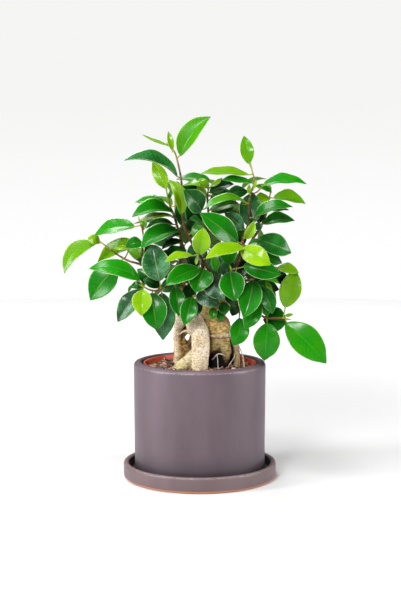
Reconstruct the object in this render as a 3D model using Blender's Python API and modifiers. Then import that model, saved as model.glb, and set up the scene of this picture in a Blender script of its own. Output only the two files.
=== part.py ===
"""A ginseng ficus in its nursery pot, inside a straight clay pot on a saucer.  Metres, +Z up.

The origin is the middle of the saucer's underside and the front is -Y.  Sizes inside this file are in
millimetres and become metres when a mesh is made.  The plant's places are written as a viewer in front
reads them, as (across, height, depth): `seen` slides such a place along the line of sight to its depth.
"""
import math
from collections import namedtuple

import bmesh
import bpy
import numpy as np
from mathutils.bvhtree import BVHTree

MM = 0.001
GAP = 0.3                       # between pieces that touch

# The viewer's eye, straight in front of the plant.
EYE_DISTANCE = 1415.0
EYE_HEIGHT = 352.0

# The saucer
SAUCER_RADIUS = 81.3
SAUCER_HEIGHT = 16.8
SAUCER_WALL = 5.8
SAUCER_FLOOR = 6.0
SAUCER_EDGE = 3.6               # rounding of its lower edge
SAUCER_CORNER = 1.5             # bevel between its floor and wall

# The clay pot
POT_RADIUS = 70.0
POT_BASE_RADIUS = 69.3
POT_TOP = 124.2
POT_BOTTOM = SAUCER_FLOOR + GAP
POT_WALL = 8.5
POT_FLOOR = 8.0
POT_LIP = 4.2                   # rounding of the rim's outer edge
POT_FOOT_EDGE = 2.2
POT_INNER_LIP = 2.0             # rounding inside its rim
POT_CORNER = 4.0                # bevel between its floor and wall
DRAIN_RADIUS = 7.0

# The nursery pot inside it
LINER_TOP = 122.8
LINER_BOTTOM = POT_BOTTOM + POT_FLOOR + GAP
LINER_RADIUS = 60.6             # of its rim
LINER_SHOULDER = 57.6           # of its wall just under the rim
LINER_BASE_RADIUS = 44.0
LINER_WALL = 1.3
LINER_RIM_DROP = 9.0            # how far its thick rim reaches down
LINER_RIM_WALL = 2.6
LINER_RIM_BEVEL = 0.8

# The potting mix
SOIL_LEVEL = 118.0              # mean height of its surface
SOIL_RELIEF = 1.7               # height of its lumps
SOIL_RINGS = 4
SOIL_EDGE_DROP = 1.2            # how much lower it lies at the nursery pot's wall
HOLE_GAP = 0.4                  # round a root: a little more than the gap, as its facets cut inwards
ROUND_STEPS = 28                # facets round a turned piece

# Tubes thicker than the first get eight sides, those thinner than the second four, in radius
THICK_WOOD = 8.5
THIN_WOOD = 3.0
SMOOTHED_ANGLE = 35             # degrees: steeper edges stay sharp
WELD_DISTANCE = 0.000001        # metres

# The leaves
BLADE_THICKNESS = 0.9
BLADE_FULLNESS = 1.04           # makes up for the straight cuts between the points of the outline
BLADE_ROWS = (0.2, 0.5, 0.8)    # where its rows of points stand along the midrib
PETIOLE_RADIUS = 0.75
PETIOLE_SHORTEST = 1.5
CLEARANCE = 0.25                # kept round every blade, petiole and stem
SHARED_FOOT = 8.0               # leaves of one shoot that start this near each other may touch
BENT_SIZES = (1.0, 0.8)         # of a leaf that has to be bent clear: as given, then shorter
BENT_REACHES = (4, 8, 12)       # how far its tip is moved
# How a row's points stand for the six places round a leaf: left, middle and right above, the same back below.
ROW_OF_SIX = (0, 1, 2, 3, 4, 5)
ROW_OF_FOUR = (0, 1, 2, 2, 3, 0)
ROW_OF_TWO = (0, 0, 0, 1, 1, 1)

# A leaf: base and tip as (across, height, depth), its width, the way its upper side looks, how far the
# midrib bows to that side and sideways, and the angle by which each half is folded up from flat.
Leaf = namedtuple("Leaf", "base tip width face arch sweep fold")
# A shoot: the place on the wood that it grows from, its stems as (across, height, depth, radius), its leaves.
Shoot = namedtuple("Shoot", "root stems leaves")

# Roots and grafted wood, as (across, height, depth, radius) from the top of each down.  The last of them is
# the blackened wood at the back of the hollow between the roots.
ROOTS = {
    "crown": [(9, 182, 4, 5), (8, 178, 4, 13), (7, 169, 5, 17), (6, 159, 6, 15), (5, 149, 6, 9)],
    "front": [(-11, 174, -4, 8), (-8, 169, -9, 9.5), (-4.8, 163.5, -14, 9.8), (-0.9, 156.5, -18, 9.8),
              (1, 149, -21, 9.6), (1, 137, -22.5, 9.5), (0.3, 122, -23, 8.9), (0, 111, -22, 8.4), (0.5, 95, -20, 6)],
    "left": [(-12, 176, -1, 7), (-18, 169, -3, 7.5), (-22.5, 160, -5, 5.4), (-23.5, 149, -6, 4.5),
             (-22.5, 136, -6, 4.7), (-21.5, 122, -5, 4.6), (-21, 111, -4, 4.4), (-20, 95, -3, 3.4)],
    "inner_left": [(-12, 162, 5, 6), (-20.5, 150, 2, 4.2), (-18, 141, 0, 6.3), (-17.5, 132, 0, 7),
                   (-19, 121, 0, 5.6), (-19.5, 111, 1, 4.8), (-19.5, 96, 1, 3.6)],
    "inner_strand": [(-7, 157, 3, 3), (-9.4, 149, 2, 2.1), (-10, 141, 1, 4), (-12, 132, -2, 5), (-16, 122, -3, 4)],
    "crossing": [(1, 138, -10, 6), (-3.5, 132.4, -14, 6.8), (-7.8, 128, -17, 7.2), (-14.7, 120.4, -19, 7.6),
                 (-22.9, 112.5, -20.5, 7.3), (-31, 99, -21, 5)],
    "body": [(14, 178, 2, 9.5), (17.5, 169, -2, 11), (20.5, 159, -4, 12), (18, 147.8, -5, 10), (14.2, 140.2, -5, 6.8),
             (11, 132.6, -4, 4), (9, 121, 2, 4.6), (7, 111, 3, 4.6), (7, 95, 5, 3.6)],
    "knob": [(23, 149, -5, 7.5), (27, 141.5, -8, 6.2), (28.4, 134.5, -9, 5.4), (28.4, 129, -9, 4.2)],
    "knob_foot": [(28.4, 130, -8.5, 4), (27, 123.5, -7, 4.6), (25.5, 116.5, -5, 4.6), (25, 107, -5, 3.8),
                  (25, 97, -4, 2.6)],
    "right": [(23, 165, 2, 8), (31, 154.5, 2, 5.2), (36, 146, 1, 4), (38.8, 137.5, -1, 3.1), (39.6, 127, -2, 3.4),
              (39.4, 111, -3, 3.4), (39.6, 96, -3, 2.6)],
    "back_left": [(-5, 171, 9, 10), (-15, 166, 14, 8), (-21.5, 156, 17, 5.6), (-22, 144, 18, 5.4), (-22, 130, 20, 5.8),
                  (-23, 111, 22, 5.4), (-24, 95, 23, 4)],
    "back": [(8, 170, 12, 12), (9, 152, 20, 10), (8, 132, 25, 9), (6, 111, 28, 8), (5, 95, 28, 5)],
    "back_right": [(22, 164, 9, 9), (29, 148, 14, 7), (33, 131, 17, 6), (35, 111, 19, 5), (36, 95, 20, 3.6)],
    "rootlet_right": [(38.5, 146, -3, 1.4), (42.5, 133, -6, 0.9), (46.5, 121.5, -6, 0.9), (47.5, 101, -6, 0.9)],
    "girdle": [(-28, 148, -7, 1.2), (-24.5, 150.5, -11, 1.3), (-20, 153.6, -12, 1.3), (-16, 156, -12.5, 1.3),
               (-13, 155.6, -12.5, 1.3), (-10, 152.5, -12, 1.5), (0, 150.5, -9, 1.6), (11, 150.5, -15, 1.8),
               (20, 150.5, -17, 1.8), (27, 151, -14.5, 1.7), (32, 152, -6, 1.4), (33, 153, 3, 1.2)],
    "blackened": [(21, 142, 2, 5), (20, 135, -1, 8), (19, 127, -3, 11), (19, 114, -3, 12), (19, 99, -1, 9)],
}
GRAFTS = {
    "left": [(-4, 170, -2, 8), (-9, 187, -3, 5.0), (-15, 199, -4, 4.5), (-20, 209, -4, 3.8)],
    "middle": [(6, 172, -5, 8), (9, 188, -8, 5.2), (12.5, 201, -12, 4.1), (14, 209, -14.5, 3.2)],
    "right": [(17, 170, -2, 9), (24, 186, -4, 5.4), (29.5, 202, -8, 4.4), (34, 215, -12, 3.4)],
    "back": [(4, 170, 8, 9), (5, 190, 15, 5.6), (4, 206, 20, 4.6), (4, 214, 23, 3.4)],
}

STUB_COLLAR = 0.3               # how much wider a stub is than the shoot's foot
STUB_END = 2.5                  # length of its straight end

SHOOTS = {}

SHOOTS["leader"] = Shoot(
    root=(14, 208, -14.3),
    stems=[
        [(13.5, 215.5, -17, 2.4), (9, 222, -20, 2.2), (3, 231, -24, 2.0), (-6, 246, -22, 1.8), (-15, 262, -18, 1.6),
         (-18, 276, -14, 1.5), (-19, 292, -11, 1.3), (-19, 312, -9, 1.2), (-22, 330, -7, 1.1), (-26, 344, -6, 1.0),
         (-31, 350, -5, 0.8)],
        [(3, 231, -24, 1.5), (1, 235, -32, 1.3), (-1, 238, -40, 1.0)],
    ],
    leaves=[
        Leaf((-20, 340, -8), (11.5, 381, -12), 26, (-0.5, -0.9, 0.3), 3, -3.8, 24),
        Leaf((-28.5, 346, -6), (-33, 366, -4), 7, (0.2, -1, 0), 1, 0, 15),
        Leaf((-31, 351, -5), (-61, 363, 0), 9, (0.1, -0.2, 1), -2, 0, 24),
        Leaf((-23, 318, -11), (-79, 335.5, -22), 32, (-0.1, -0.45, 1), 9, 0, 24),
        Leaf((-18, 307, -14), (0, 309, -34), 16, (-0.1, -0.5, 1), 5, 0, 5),
        Leaf((-20, 279, -22), (-33, 316, -30), 16, (0.5, -1, -0.1), 2, 5, 22),
        Leaf((1, 222, -36), (-36, 204, -58), 22, (0, -0.9, 0.75), 3, 2, 10),
        Leaf((4.5, 222, -27), (-4.5, 197, -43), 27, (0, -1, 0.35), 3, 0, 12),
        Leaf((0, 237, -46), (4, 266, -50), 19, (0, -1, 0.1), 3, 0, 14),
        Leaf((-7, 236, -46), (-37, 229, -60), 16, (0, -0.45, 1), 2, 0, 20),
        Leaf((-3, 234, -44), (-4, 226, -48), 3.5, (0, -1, 0.3), 1, 0, 10),
        Leaf((4, 268, -22), (-11, 275, -34), 13.5, (0, -0.8, 1), 2, 0, 8),
        Leaf((1, 253, -26), (-4, 271, -22), 13.5, (-0.3, -1, 0.3), 2, 0, 10),
        Leaf((15, 235, -28), (17, 219, -34), 9.5, (0.2, -1, 0.2), 1, 0, 12),
        Leaf((16, 216, -30), (27, 189.5, -48), 23, (-0.2, -1, 0.5), 4, 4.5, 6),
    ],
)

SHOOTS["upper_left"] = Shoot(
    root=(-19.5, 208, -4),
    stems=[
        [(-21.5, 215, -4, 2.2), (-20, 236, -3, 2.0), (-20, 254, -3, 1.7), (-24, 268, -4, 1.5), (-27, 278, -3, 1.4),
         (-31, 288, -2, 1.2), (-33, 296, -1, 1.0), (-35, 305, 1, 0.8)],
    ],
    leaves=[
        Leaf((-35, 306, 1), (-49.5, 334.5, 8), 15.5, (-0.1, -1, -0.1), 1, 1, 12),
        Leaf((-32, 295, -2), (-30, 306, -3), 4, (0, -1, 0), 0, 0, 10),
        Leaf((-34, 284, 10), (-68, 292, 18), 21, (-0.2, -0.55, 1), 5, 0, 14),
        Leaf((-27, 277, -24), (-64.5, 271.5, -34), 16, (0, -0.35, 1), 3.5, 0, 10),
        Leaf((-26, 280, -8), (-70.5, 271, -22), 29, (0, -0.6, 1), 7, 0, 22),
        Leaf((-22, 262.5, -20), (-62, 243, -41), 29, (0, -0.6, 1), 5, 0, 24),
        Leaf((-27, 268.5, -7), (-57, 264.5, -16), 14.5, (0, -0.6, 1), 5, 0, 14),
        Leaf((-20, 259, -9), (-41, 250, -20), 12.5, (0, -0.5, 1), 3, 0, 12),
        Leaf((-19, 252, -12), (-40, 243, -25), 13.5, (0, -0.6, 1), 3, 0, 12),
        Leaf((-14, 242.5, -17), (-38, 234, -36), 16, (0, -0.7, 1), 3, 0, 12),
        Leaf((-18, 266, 6), (-20, 297, 14), 15, (0, -1, 0.1), 2, 0, 10),
        Leaf((-26, 250, 4), (-53, 253, 12), 17, (0, -0.9, 0.6), 2, 0, 10),
    ],
)

SHOOTS["far_left"] = Shoot(
    root=(-17, 203, -4),
    stems=[
        [(-27, 206, -6, 2.0), (-35, 213, -6, 1.8), (-46, 220, -4, 1.7), (-58, 225, -2, 1.5), (-66, 228, -1, 1.4),
         (-76, 231, 2, 1.3), (-88, 238, 5, 1.1), (-97, 245, 9, 1.0), (-104, 250, 12, 0.8)],
        [(-58, 225, -2, 1.3), (-61, 236, 1, 1.2), (-59, 250, 2, 1.1), (-60, 262, 3, 1.0), (-63, 272, 5, 0.8)],
    ],
    leaves=[
        Leaf((-109, 248.5, 13), (-142.5, 217, 12), 18.5, (-0.3, -0.8, 0.3), 2, 10, 12),
        Leaf((-105, 251, 13), (-118, 254, 12), 11.5, (0.3, -1, 0.5), 2, 0, 10),
        Leaf((-66, 248.5, 7), (-108, 228.5, 22), 22, (-0.2, -0.8, 0.7), 4, 3, 14),
        Leaf((-73, 243, 3), (-91, 243, 2), 7, (0, -0.8, 1), 1, 0, 20),
        Leaf((-60, 249.5, -1), (-78, 245, -4), 15.5, (0, -0.8, 0.6), 3, 0, 12),
        Leaf((-68, 266.5, 6), (-111, 257, 9), 25.5, (-0.1, -0.7, 1), 4.5, 0.8, 12),
        Leaf((-59, 263, 7), (-57.5, 275, 12), 6, (0, -1, 0.2), 1, 0, 10),
        Leaf((-86.5, 225.5, -5), (-115.5, 188.5, -5), 31, (-0.2, -0.9, 0.35), 3, 1, 8),
        Leaf((-44, 226, 4), (-66, 232, 12), 14, (0, -0.9, 0.6), 2, 0, 10),
    ],
)

SHOOTS["low_left"] = Shoot(
    root=(12, 200, -11.5),
    stems=[
        [(5, 205, -17, 1.8), (-4, 210, -20, 1.7), (-15, 212, -22, 1.6), (-27, 207, -26, 1.4), (-36, 203, -29, 1.3),
         (-46, 199, -32, 1.2), (-53, 200, -34, 1.1), (-59, 203, -36, 0.9)],
    ],
    leaves=[
        Leaf((-63, 210, -38), (-117, 222, -46), 22, (-0.1, -0.85, 0.8), 8, 3, 6),
        Leaf((-60, 200, -44), (-62, 172, -54), 21, (0, -1, 0.25), 3, 0, 14),
        Leaf((-62, 200, -34), (-87, 165.5, -36), 22, (-0.4, -0.9, 0.3), 3, 0, 10),
        Leaf((-58, 203.5, -30), (-74, 202.5, -30), 12, (0, -0.8, 1), 2, 0, 8),
        Leaf((-50, 197, -38), (-45, 156.5, -44), 27.5, (0.1, -1, 0.25), 3, 1, 14),
        Leaf((-40, 197, -28), (-39, 146, -30), 26, (0.25, -0.95, 0.2), 4, 0, 8),
        Leaf((-42, 209, -38), (-50, 248, -34), 29.5, (-0.1, -1, 0.2), 3, 0, 12),
        Leaf((-42, 203, -26), (-60, 211, -26), 13.5, (0, -0.9, 0.6), 2, 0, 8),
        Leaf((-47, 206, -20), (-66, 222, -18), 16, (-0.2, -0.9, 0.5), 2, 0, 8),
        Leaf((-26, 204, -24), (-22, 172, -30), 17, (0.1, -1, 0.3), 2, 0, 10),
        Leaf((-18, 211, -10), (-43, 199, -6), 16, (0, -1, 0.3), 2, 0, 10),
        Leaf((-6, 208, -8), (-16, 186, -4), 15, (0, -1, 0.2), 2, 0, 10),
    ],
)

SHOOTS["low_front"] = Shoot(
    root=(9.3, 189, -8.2),
    stems=[
        [(9, 190, -18, 1.7), (6, 193, -23, 1.5), (1, 195, -28, 1.3), (-4, 194, -33, 0.9)],
        [(6, 193, -23, 1.3), (14, 191, -26, 1.1), (22, 187, -25, 0.9)],
    ],
    leaves=[
        Leaf((-8.5, 192, -36), (-16.5, 161.5, -48), 18, (0.1, -1, 0.3), 3, 0, 12),
        Leaf((-1, 190, -28), (-3, 172, -32), 9.5, (0.5, -1, 0.2), 1, 0, 10),
        Leaf((-1, 198, -32), (22.5, 183.5, -44), 19, (-0.1, -0.9, 0.6), 4, 3, 6),
        Leaf((14, 181, -28), (14, 168, -32), 9.5, (0, -1, 0.4), 1, 0, 10),
        Leaf((21, 179, -24), (22, 166, -26), 9.5, (0.2, -1, 0.3), 1, 0, 10),
        Leaf((24, 187, -26), (27, 173, -28), 12.5, (0.1, -1, 0.3), 1, 0, 10),
    ],
)

SHOOTS["upper_right"] = Shoot(
    root=(33.5, 214, -11.8),
    stems=[
        [(36, 222, -16, 2.3), (41, 232, -22, 2.1), (43, 243, -27, 1.9), (46, 255, -27, 1.7), (50, 266, -25, 1.5),
         (52, 276, -23, 1.4), (51, 288, -20, 1.3), (53, 300, -17, 1.1), (57, 314, -14, 1.0), (54, 328, -12, 0.8)],
        [(53, 300, -17, 0.9), (60, 303, -14, 0.9), (66, 309, -12, 0.7)],
    ],
    leaves=[
        Leaf((47, 245, -42), (6, 233, -68), 22, (-0.1, -0.7, 1), 4, -1, 14),
        Leaf((43, 243, -48), (75, 226, -60), 22, (0, -1, 0.45), 3, 0, 12),
        Leaf((48, 254, -38), (57, 273, -44), 11.5, (0.1, -1, 0.1), 2, 1, 30),
        Leaf((40, 250, -36), (0, 281, -44), 25, (0.25, -1, 0.35), 3, 0, 14),
        Leaf((46, 263, -24), (26, 281, -22), 16, (0.2, -1, 0.5), 2, 0, 12),
        Leaf((51, 267, -16), (55, 303, -6), 25, (0, -1, 0.1), 3, 0, 16),
        Leaf((57, 276, -32), (98, 287, -30), 20, (0.1, -0.62, 1), 6, 0, 22),
        Leaf((48, 293, -26), (5, 285, -38), 21, (0, -0.35, 1), 5, 0, 24),
        Leaf((52, 301, -20), (52, 311, -22), 5, (-0.3, -1, 0), 1, 0, 15),
        Leaf((56, 306, -16), (59, 316, -16), 4, (0.3, -1, 0), 1, 0, 15),
        Leaf((51.5, 332, -12), (46, 361.5, -8), 15, (0.1, -1, 0.1), 2, 0, 12),
        Leaf((52, 320.5, -12), (0, 321.5, -22), 22, (0, -0.45, 1), 3, 0, 10),
        Leaf((56, 312, -18), (22, 315, -30), 17, (0, -0.5, 1), 2, 0, 10),
        Leaf((66, 309.5, -12), (112, 311, -8), 24, (0, -0.5, 1), 5, 0, 16),
        Leaf((41, 291, -12), (9, 283, -14), 15, (0, -0.8, 1), 2, 0, 12),
        Leaf((58, 309, -6), (76, 302, -2), 11, (0, -0.7, 1), 2, 0, 10),
        Leaf((29.5, 250, -26), (30, 225.5, -37), 20, (0, -1, 0.2), 2, 0, 14),
        Leaf((34, 232, -12), (25.5, 213, -14), 17, (0, -1, 0.2), 1, 0, 10),
    ],
)

SHOOTS["right"] = Shoot(
    root=(33, 212, -11),
    stems=[
        [(38, 224, -8, 2.0), (48, 240, -5, 1.8), (56, 254, -2, 1.6), (62, 263, 1, 1.5), (68, 275, 3, 1.3),
         (72, 290, 5, 1.1), (74, 302, 5, 0.8)],
    ],
    leaves=[
        Leaf((67, 269, -3), (100, 272.5, 6), 23, (0, -0.6, 1), 4, 0, 16),
        Leaf((77, 296.5, 8), (111, 290, 17), 23, (0.2, -0.7, 1), 4, 0, 18),
        Leaf((72, 298, -1), (58, 291, -15), 14.5, (0, -0.9, 0.6), 2, 0, 10),
        Leaf((74, 302, 5), (72, 316, 4), 3.5, (-0.5, -1, 0), 0, 0, 15),
        Leaf((60, 253, -8), (96.5, 239, -2), 27, (0.1, -0.9, 0.6), 4, 1, 10),
        Leaf((52, 248, -19), (68, 249, -21), 11.5, (0, -0.7, 1), 2, 0, 10),
        Leaf((57, 266, -15), (66, 267, -12), 9, (0.1, -1, 0.3), 1, 0, 8),
        Leaf((73, 273, 9), (88, 280, 21), 12.5, (0, -0.6, 1), 2, 0, 12),
        Leaf((74, 283, 12), (94, 284, 26), 9.5, (0.2, -0.6, 1), 2, 0, 12),
        Leaf((46, 247, 4), (37, 272, 8), 16, (0, -1, 0.1), 2, 0, 10),
        Leaf((62, 270, 6), (66, 296, 12), 15, (0, -1, 0.2), 2, 0, 10),
        Leaf((58, 239, 2), (87, 228, 6), 17, (0, -1, 0.4), 2, 0, 10),
        Leaf((51, 238, 2), (41, 211, 4), 18, (0, -1, 0.3), 2, 0, 10),
    ],
)

SHOOTS["right_middle"] = Shoot(
    root=(29.7, 202.5, -8.2),
    stems=[
        [(35, 204, -17, 2.0), (40, 207, -22, 1.8), (46, 209, -26, 1.6), (56, 211, -29, 1.4), (61, 216, -29, 1.2),
         (72, 218, -24, 1.1), (82, 221, -18, 0.9)],
        [(40, 207, -22, 1.3), (35, 213, -27, 1.1), (33, 221, -32, 0.9)],
        [(46, 209, -26, 1.2), (54, 203, -28, 1.1), (60, 196, -28, 0.9)],
    ],
    leaves=[
        Leaf((46, 226, -34), (86, 216, -38), 23, (0.1, -0.9, 0.5), 4, 2, 10),
        Leaf((32, 219, -40), (37.5, 187.5, -54), 27.5, (-0.1, -1, 0.3), 3, 0, 14),
        Leaf((28, 201, -28), (38, 181, -36), 12.5, (0, -1, 0.3), 1, 0, 10),
        Leaf((56, 210, -38), (46, 170, -52), 25, (-0.1, -1, 0.3), 3, -2, 12),
        Leaf((60, 191, -32), (47.5, 157.5, -42), 20, (0.2, -1, 0.3), 3, -1, 12),
        Leaf((63, 203, -26), (77, 174, -36), 18, (0.3, -1, 0.3), 3, -1, 12),
        Leaf((64, 190, -20), (72, 171, -26), 12.5, (0.2, -1, 0.5), 2, 0, 8),
        Leaf((81, 222, -14), (104.5, 217.5, -16), 16, (0.1, -0.8, 1), 3, 0, 12),
        Leaf((60, 213, -24), (85, 206, -22), 12, (0, -0.5, 1), 2, 0, 14),
        Leaf((69, 210, -20), (77, 198, -20), 5, (-0.3, -1, 0.2), 1, 0, 10),
        Leaf((80, 219, -12), (92, 205, -10), 13.5, (0.1, -1, 0.3), 1, 0, 10),
        Leaf((48, 216, -14), (78, 205, -10), 18, (0, -1, 0.3), 2, 0, 10),
        Leaf((58, 206, -16), (84, 200, -12), 15, (0, -1, 0.3), 2, 0, 10),
    ],
)

SHOOTS["low_right"] = Shoot(
    root=(24.5, 187.5, -4.5),
    stems=[
        [(33, 184, -8, 2.0), (41, 181, -11, 1.8), (50, 178, -14, 1.6), (64, 173, -16, 1.4), (71, 170, -17, 1.3),
         (84, 170, -16, 1.1), (91, 169, -15, 0.9)],
        [(41, 181, -11, 1.2), (42, 176, -16, 1.0), (42, 171, -20, 0.8)],
    ],
    leaves=[
        Leaf((71.5, 165, -20), (68.5, 124, -20), 29.5, (0.1, -1, 0.2), 3, 0, 12),
        Leaf((90.5, 164.5, -17), (134.5, 121, -26), 32.5, (0, -1, 0.35), 4, -1, 10),
        Leaf((92, 166.5, -6), (67, 168.5, -2), 27, (0, -1, 0.35), 3, 0, 8),
        Leaf((90, 181, -13), (101, 222, -10), 24, (0.1, -1, 0.1), 2, 0, 12),
        Leaf((41.5, 170, -22), (34.5, 140.5, -28), 21, (0.1, -1, 0.3), 3, -3.5, 8),
        Leaf((90, 172, -12), (99, 174, -12), 4, (0, -1, 0.3), 0, 0, 10),
        Leaf((66, 178, -8), (78, 204, -4), 17, (0, -1, 0.2), 2, 0, 10),
        Leaf((41, 189, -3), (34, 172, 0), 12, (0, -1, 0.2), 2, 0, 10),
    ],
)

SHOOTS["top"] = Shoot(
    root=(4, 213, 22.6),
    stems=[
        [(4, 221, 25, 2.4), (6, 237, 18, 2.1), (8, 258, 8, 1.8), (9, 280, -2, 1.5), (8, 296, -6, 1.2),
         (9, 306, -7, 0.9)],
    ],
    leaves=[
        Leaf((10, 302, -8), (36, 311, -14), 19, (0, -0.8, 1), 3, 0, 12),
        Leaf((8, 307, -12), (-1, 317, -16), 9.5, (-0.3, -0.8, 0.6), 2, 0, 10),
        Leaf((11, 309, -10), (24, 318, -14), 9.5, (0.2, -0.6, 1), -2, 0, 14),
        Leaf((11, 315, 1), (-25, 316, 8), 20, (0, -0.5, 1), 2, 0, 10),
        Leaf((6, 297, -13), (-3, 310, -18), 9.5, (0.2, -1, 0.1), 1, 0, 10),
        Leaf((2, 283, -18), (-17, 305, -32), 24, (0.2, -1, 0.35), 4, 0, 12),
        Leaf((28, 299, 0), (51, 303, 2), 16, (0, -0.8, 0.6), 3, 0, 8),
        Leaf((6, 300, -2), (-21, 308, -2), 15, (0, -0.7, 1), 2, 0, 10),
        Leaf((11, 296, 2), (38, 304, 8), 16, (0, -0.8, 1), 2, 0, 10),
        Leaf((12, 282, 6), (36, 287, 12), 15, (0, -0.9, 0.7), 2, 0, 10),
        Leaf((0, 268, 10), (-14, 290, 8), 18, (0, -1, 0.2), 2, 0, 10),
        Leaf((-3, 251, 16), (-5, 222, 8), 20, (0, -1, 0.3), 2, 0, 10),
        Leaf((12, 243, 16), (21, 211, 8), 19, (0, -1, 0.3), 2, 0, 10),
        Leaf((13, 262, 8), (34, 254, 4), 16, (0, -1, 0.4), 2, 0, 10),
        Leaf((2, 262, 4), (-18, 271, 2), 13, (0, -1, 0.4), 2, 0, 10),
    ],
)


def seen(place):
    """A place read from the front as (across, height, depth), slid along the line of sight to its depth."""
    across, height, depth = place[:3]
    reach = 1 + depth / EYE_DISTANCE
    return np.array((across * reach, depth, EYE_HEIGHT + (height - EYE_HEIGHT) * reach))


def route(places):
    """Points (x, y, z, radius) of a stem written as (across, height, depth, radius)."""
    return np.array([(*seen(place), place[3]) for place in places])


def smooth(points, per_span):
    """A curve through all the points, with each span cut in equal steps: Catmull-Rom, ends mirrored."""
    points = np.asarray(points, float)
    ends = np.vstack((2 * points[0] - points[1], points, 2 * points[-1] - points[-2]))
    ends[[0, -1], 3:] = points[[0, -1], 3:]
    before, start, end, after = ends[:-3], ends[1:-2], ends[2:-1], ends[3:]
    pieces = [points[:1]]
    for step in range(1, per_span + 1):
        t = step / per_span
        mixed = (2 * start + (end - before) * t + (2 * before - 5 * start + 4 * end - after) * t**2
                 + (3 * start - before - 3 * end + after) * t**3) / 2
        pieces.append(mixed)
    body = np.stack(pieces[1:], axis=1).reshape(-1, points.shape[1])
    return np.vstack((points[:1], body))


def unit(vector):
    return vector / np.linalg.norm(vector, axis=-1, keepdims=True)


def half_width(along):
    """Half the width of a blade along its midrib, from 0 at the base over 1 near the middle to 0."""
    return np.sin(np.pi * np.clip(along, 0, 1) ** 0.9) ** 0.8


def rib_frame(leaf, along):
    """Midrib points of a blade with the directions across it and up from it."""
    chord = leaf.tip - leaf.base
    forward = unit(chord)
    face = np.array(leaf.face, float)
    up = unit(face - (face @ forward) * forward)
    bow = leaf.arch * up + leaf.sweep * np.cross(forward, up)
    along = np.asarray(along, float)[..., None]
    rib = leaf.base + chord * along + bow * 4 * along * (1 - along)
    heading = unit(chord + bow * 4 * (1 - 2 * along))
    lift = unit(up - (heading @ up)[..., None] * heading)
    return rib, np.cross(heading, lift), lift


def section_of_four(centre, heading, across, radius):
    """Left, top, right and bottom points of a square section that stands across `heading`."""
    side = unit(across - (across @ heading) * heading)
    top = np.cross(side, heading)
    return centre + radius * np.array([-side, top, side, -top])


def section_of_six(leaf, middle, across, lift, reach, half):
    """Points above a blade at its left edge, midrib and right edge, then those below from right to left."""
    fold = math.radians(leaf.fold)
    rise = lift * math.sin(fold)
    left = middle + reach * (rise - across * math.cos(fold))
    right = middle + reach * (rise + across * math.cos(fold))
    up_left = half * (lift * math.cos(fold) + across * math.sin(fold))
    up_right = half * (lift * math.cos(fold) - across * math.sin(fold))
    up_middle = half * lift / math.cos(fold)
    return np.array([left + up_left, middle + up_middle, right + up_right,
                     right - up_right, middle - up_middle, left - up_left])


def blade(leaf, swell=0.0, stalk=None):
    """A closed folded blade, larger all round by `swell`; with its stalk in the same body where one is given."""
    places, across, lift = rib_frame(leaf, (0.0, *BLADE_ROWS, 1.0))
    heading = np.cross(lift[0], across[0])
    radius = PETIOLE_RADIUS + swell
    half = BLADE_THICKNESS / 2 + swell
    rows = []
    if stalk is not None:
        run = unit(leaf.base - stalk[0, :3])
        heading = unit(heading + run)
        radius = stalk[0, 3]
        rows.append((section_of_four(stalk[0, :3], run, across[0], radius), ROW_OF_FOUR))
    rows.append((section_of_four(leaf.base, heading, across[0], radius), ROW_OF_FOUR))
    for station, along in enumerate(BLADE_ROWS, 1):
        reach = leaf.width / 2 * BLADE_FULLNESS * half_width(along) + swell
        rows.append((section_of_six(leaf, places[station], across[station], lift[station], reach, half), ROW_OF_SIX))
    end = leaf.tip + swell * unit(leaf.tip - leaf.base)
    rows.append((np.array([end + half * lift[-1], end - half * lift[-1]]), ROW_OF_TWO))
    return joined_rows(rows)


def joined_rows(rows):
    """Points and triangles of a body made of rows of six places, some of which share a point."""
    faces = [(0, 3, 2), (0, 2, 1)]
    numbers = np.array(rows[0][1])
    count = len(rows[0][0])
    for points, order in rows[1:]:
        ahead = count + np.array(order)
        count += len(points)
        for a, b, c, d in zip(numbers, np.roll(numbers, -1), np.roll(ahead, -1), ahead):
            faces += [tuple(map(int, corners)) for corners in ((a, b, c), (a, c, d)) if len(set(corners)) == 3]
        numbers = ahead
    return np.vstack([points for points, _ in rows]), faces


def beads(stem, spacing=1.2):
    """Closely spaced points (x, y, z, radius) along a stem, for measuring distances to it."""
    rows = []
    for start, end in zip(stem, stem[1:]):
        count = max(2, int(np.linalg.norm(end[:3] - start[:3]) / spacing) + 1)
        rows.append(start + (end - start) * np.linspace(0, 1, count)[:, None])
    return np.vstack(rows)


def petiole(leaf, stems):
    """The stalk from the nearest point of a shoot's stems to the foot of a blade."""
    points = np.vstack([beads(stem) for stem in stems])
    nearest = points[np.argmin(np.linalg.norm(points[:, :3] - leaf.base, axis=1))]
    radius = min(PETIOLE_RADIUS, nearest[3])
    start = nearest[:3]
    if np.linalg.norm(leaf.base - start) < PETIOLE_SHORTEST:
        start = leaf.base - PETIOLE_SHORTEST * unit(leaf.tip - leaf.base)
    return np.array([(*start, radius), (*leaf.base, radius)])


def box_of(points, margin=0.0):
    return points.min(axis=0) - margin, points.max(axis=0) + margin


def boxes_meet(one, other):
    return bool(np.all(one[0] <= other[1]) and np.all(other[0] <= one[1]))


def nudges():
    """Moves of a leaf's tip that are tried in turn, smallest first, and those along the view before the rest."""
    moves = [(0, 0, 0)]
    for reach in BENT_REACHES:
        moves += [(0, -reach, 0), (0, reach, 0)]
        moves += [(0, -reach, -reach / 2), (0, reach, reach / 2), (0, -reach, reach / 2), (0, reach, -reach / 2)]
        moves += [(-reach / 2, 0, 0), (reach / 2, 0, 0)]
    return [np.array(move, float) for move in moves]


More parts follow.
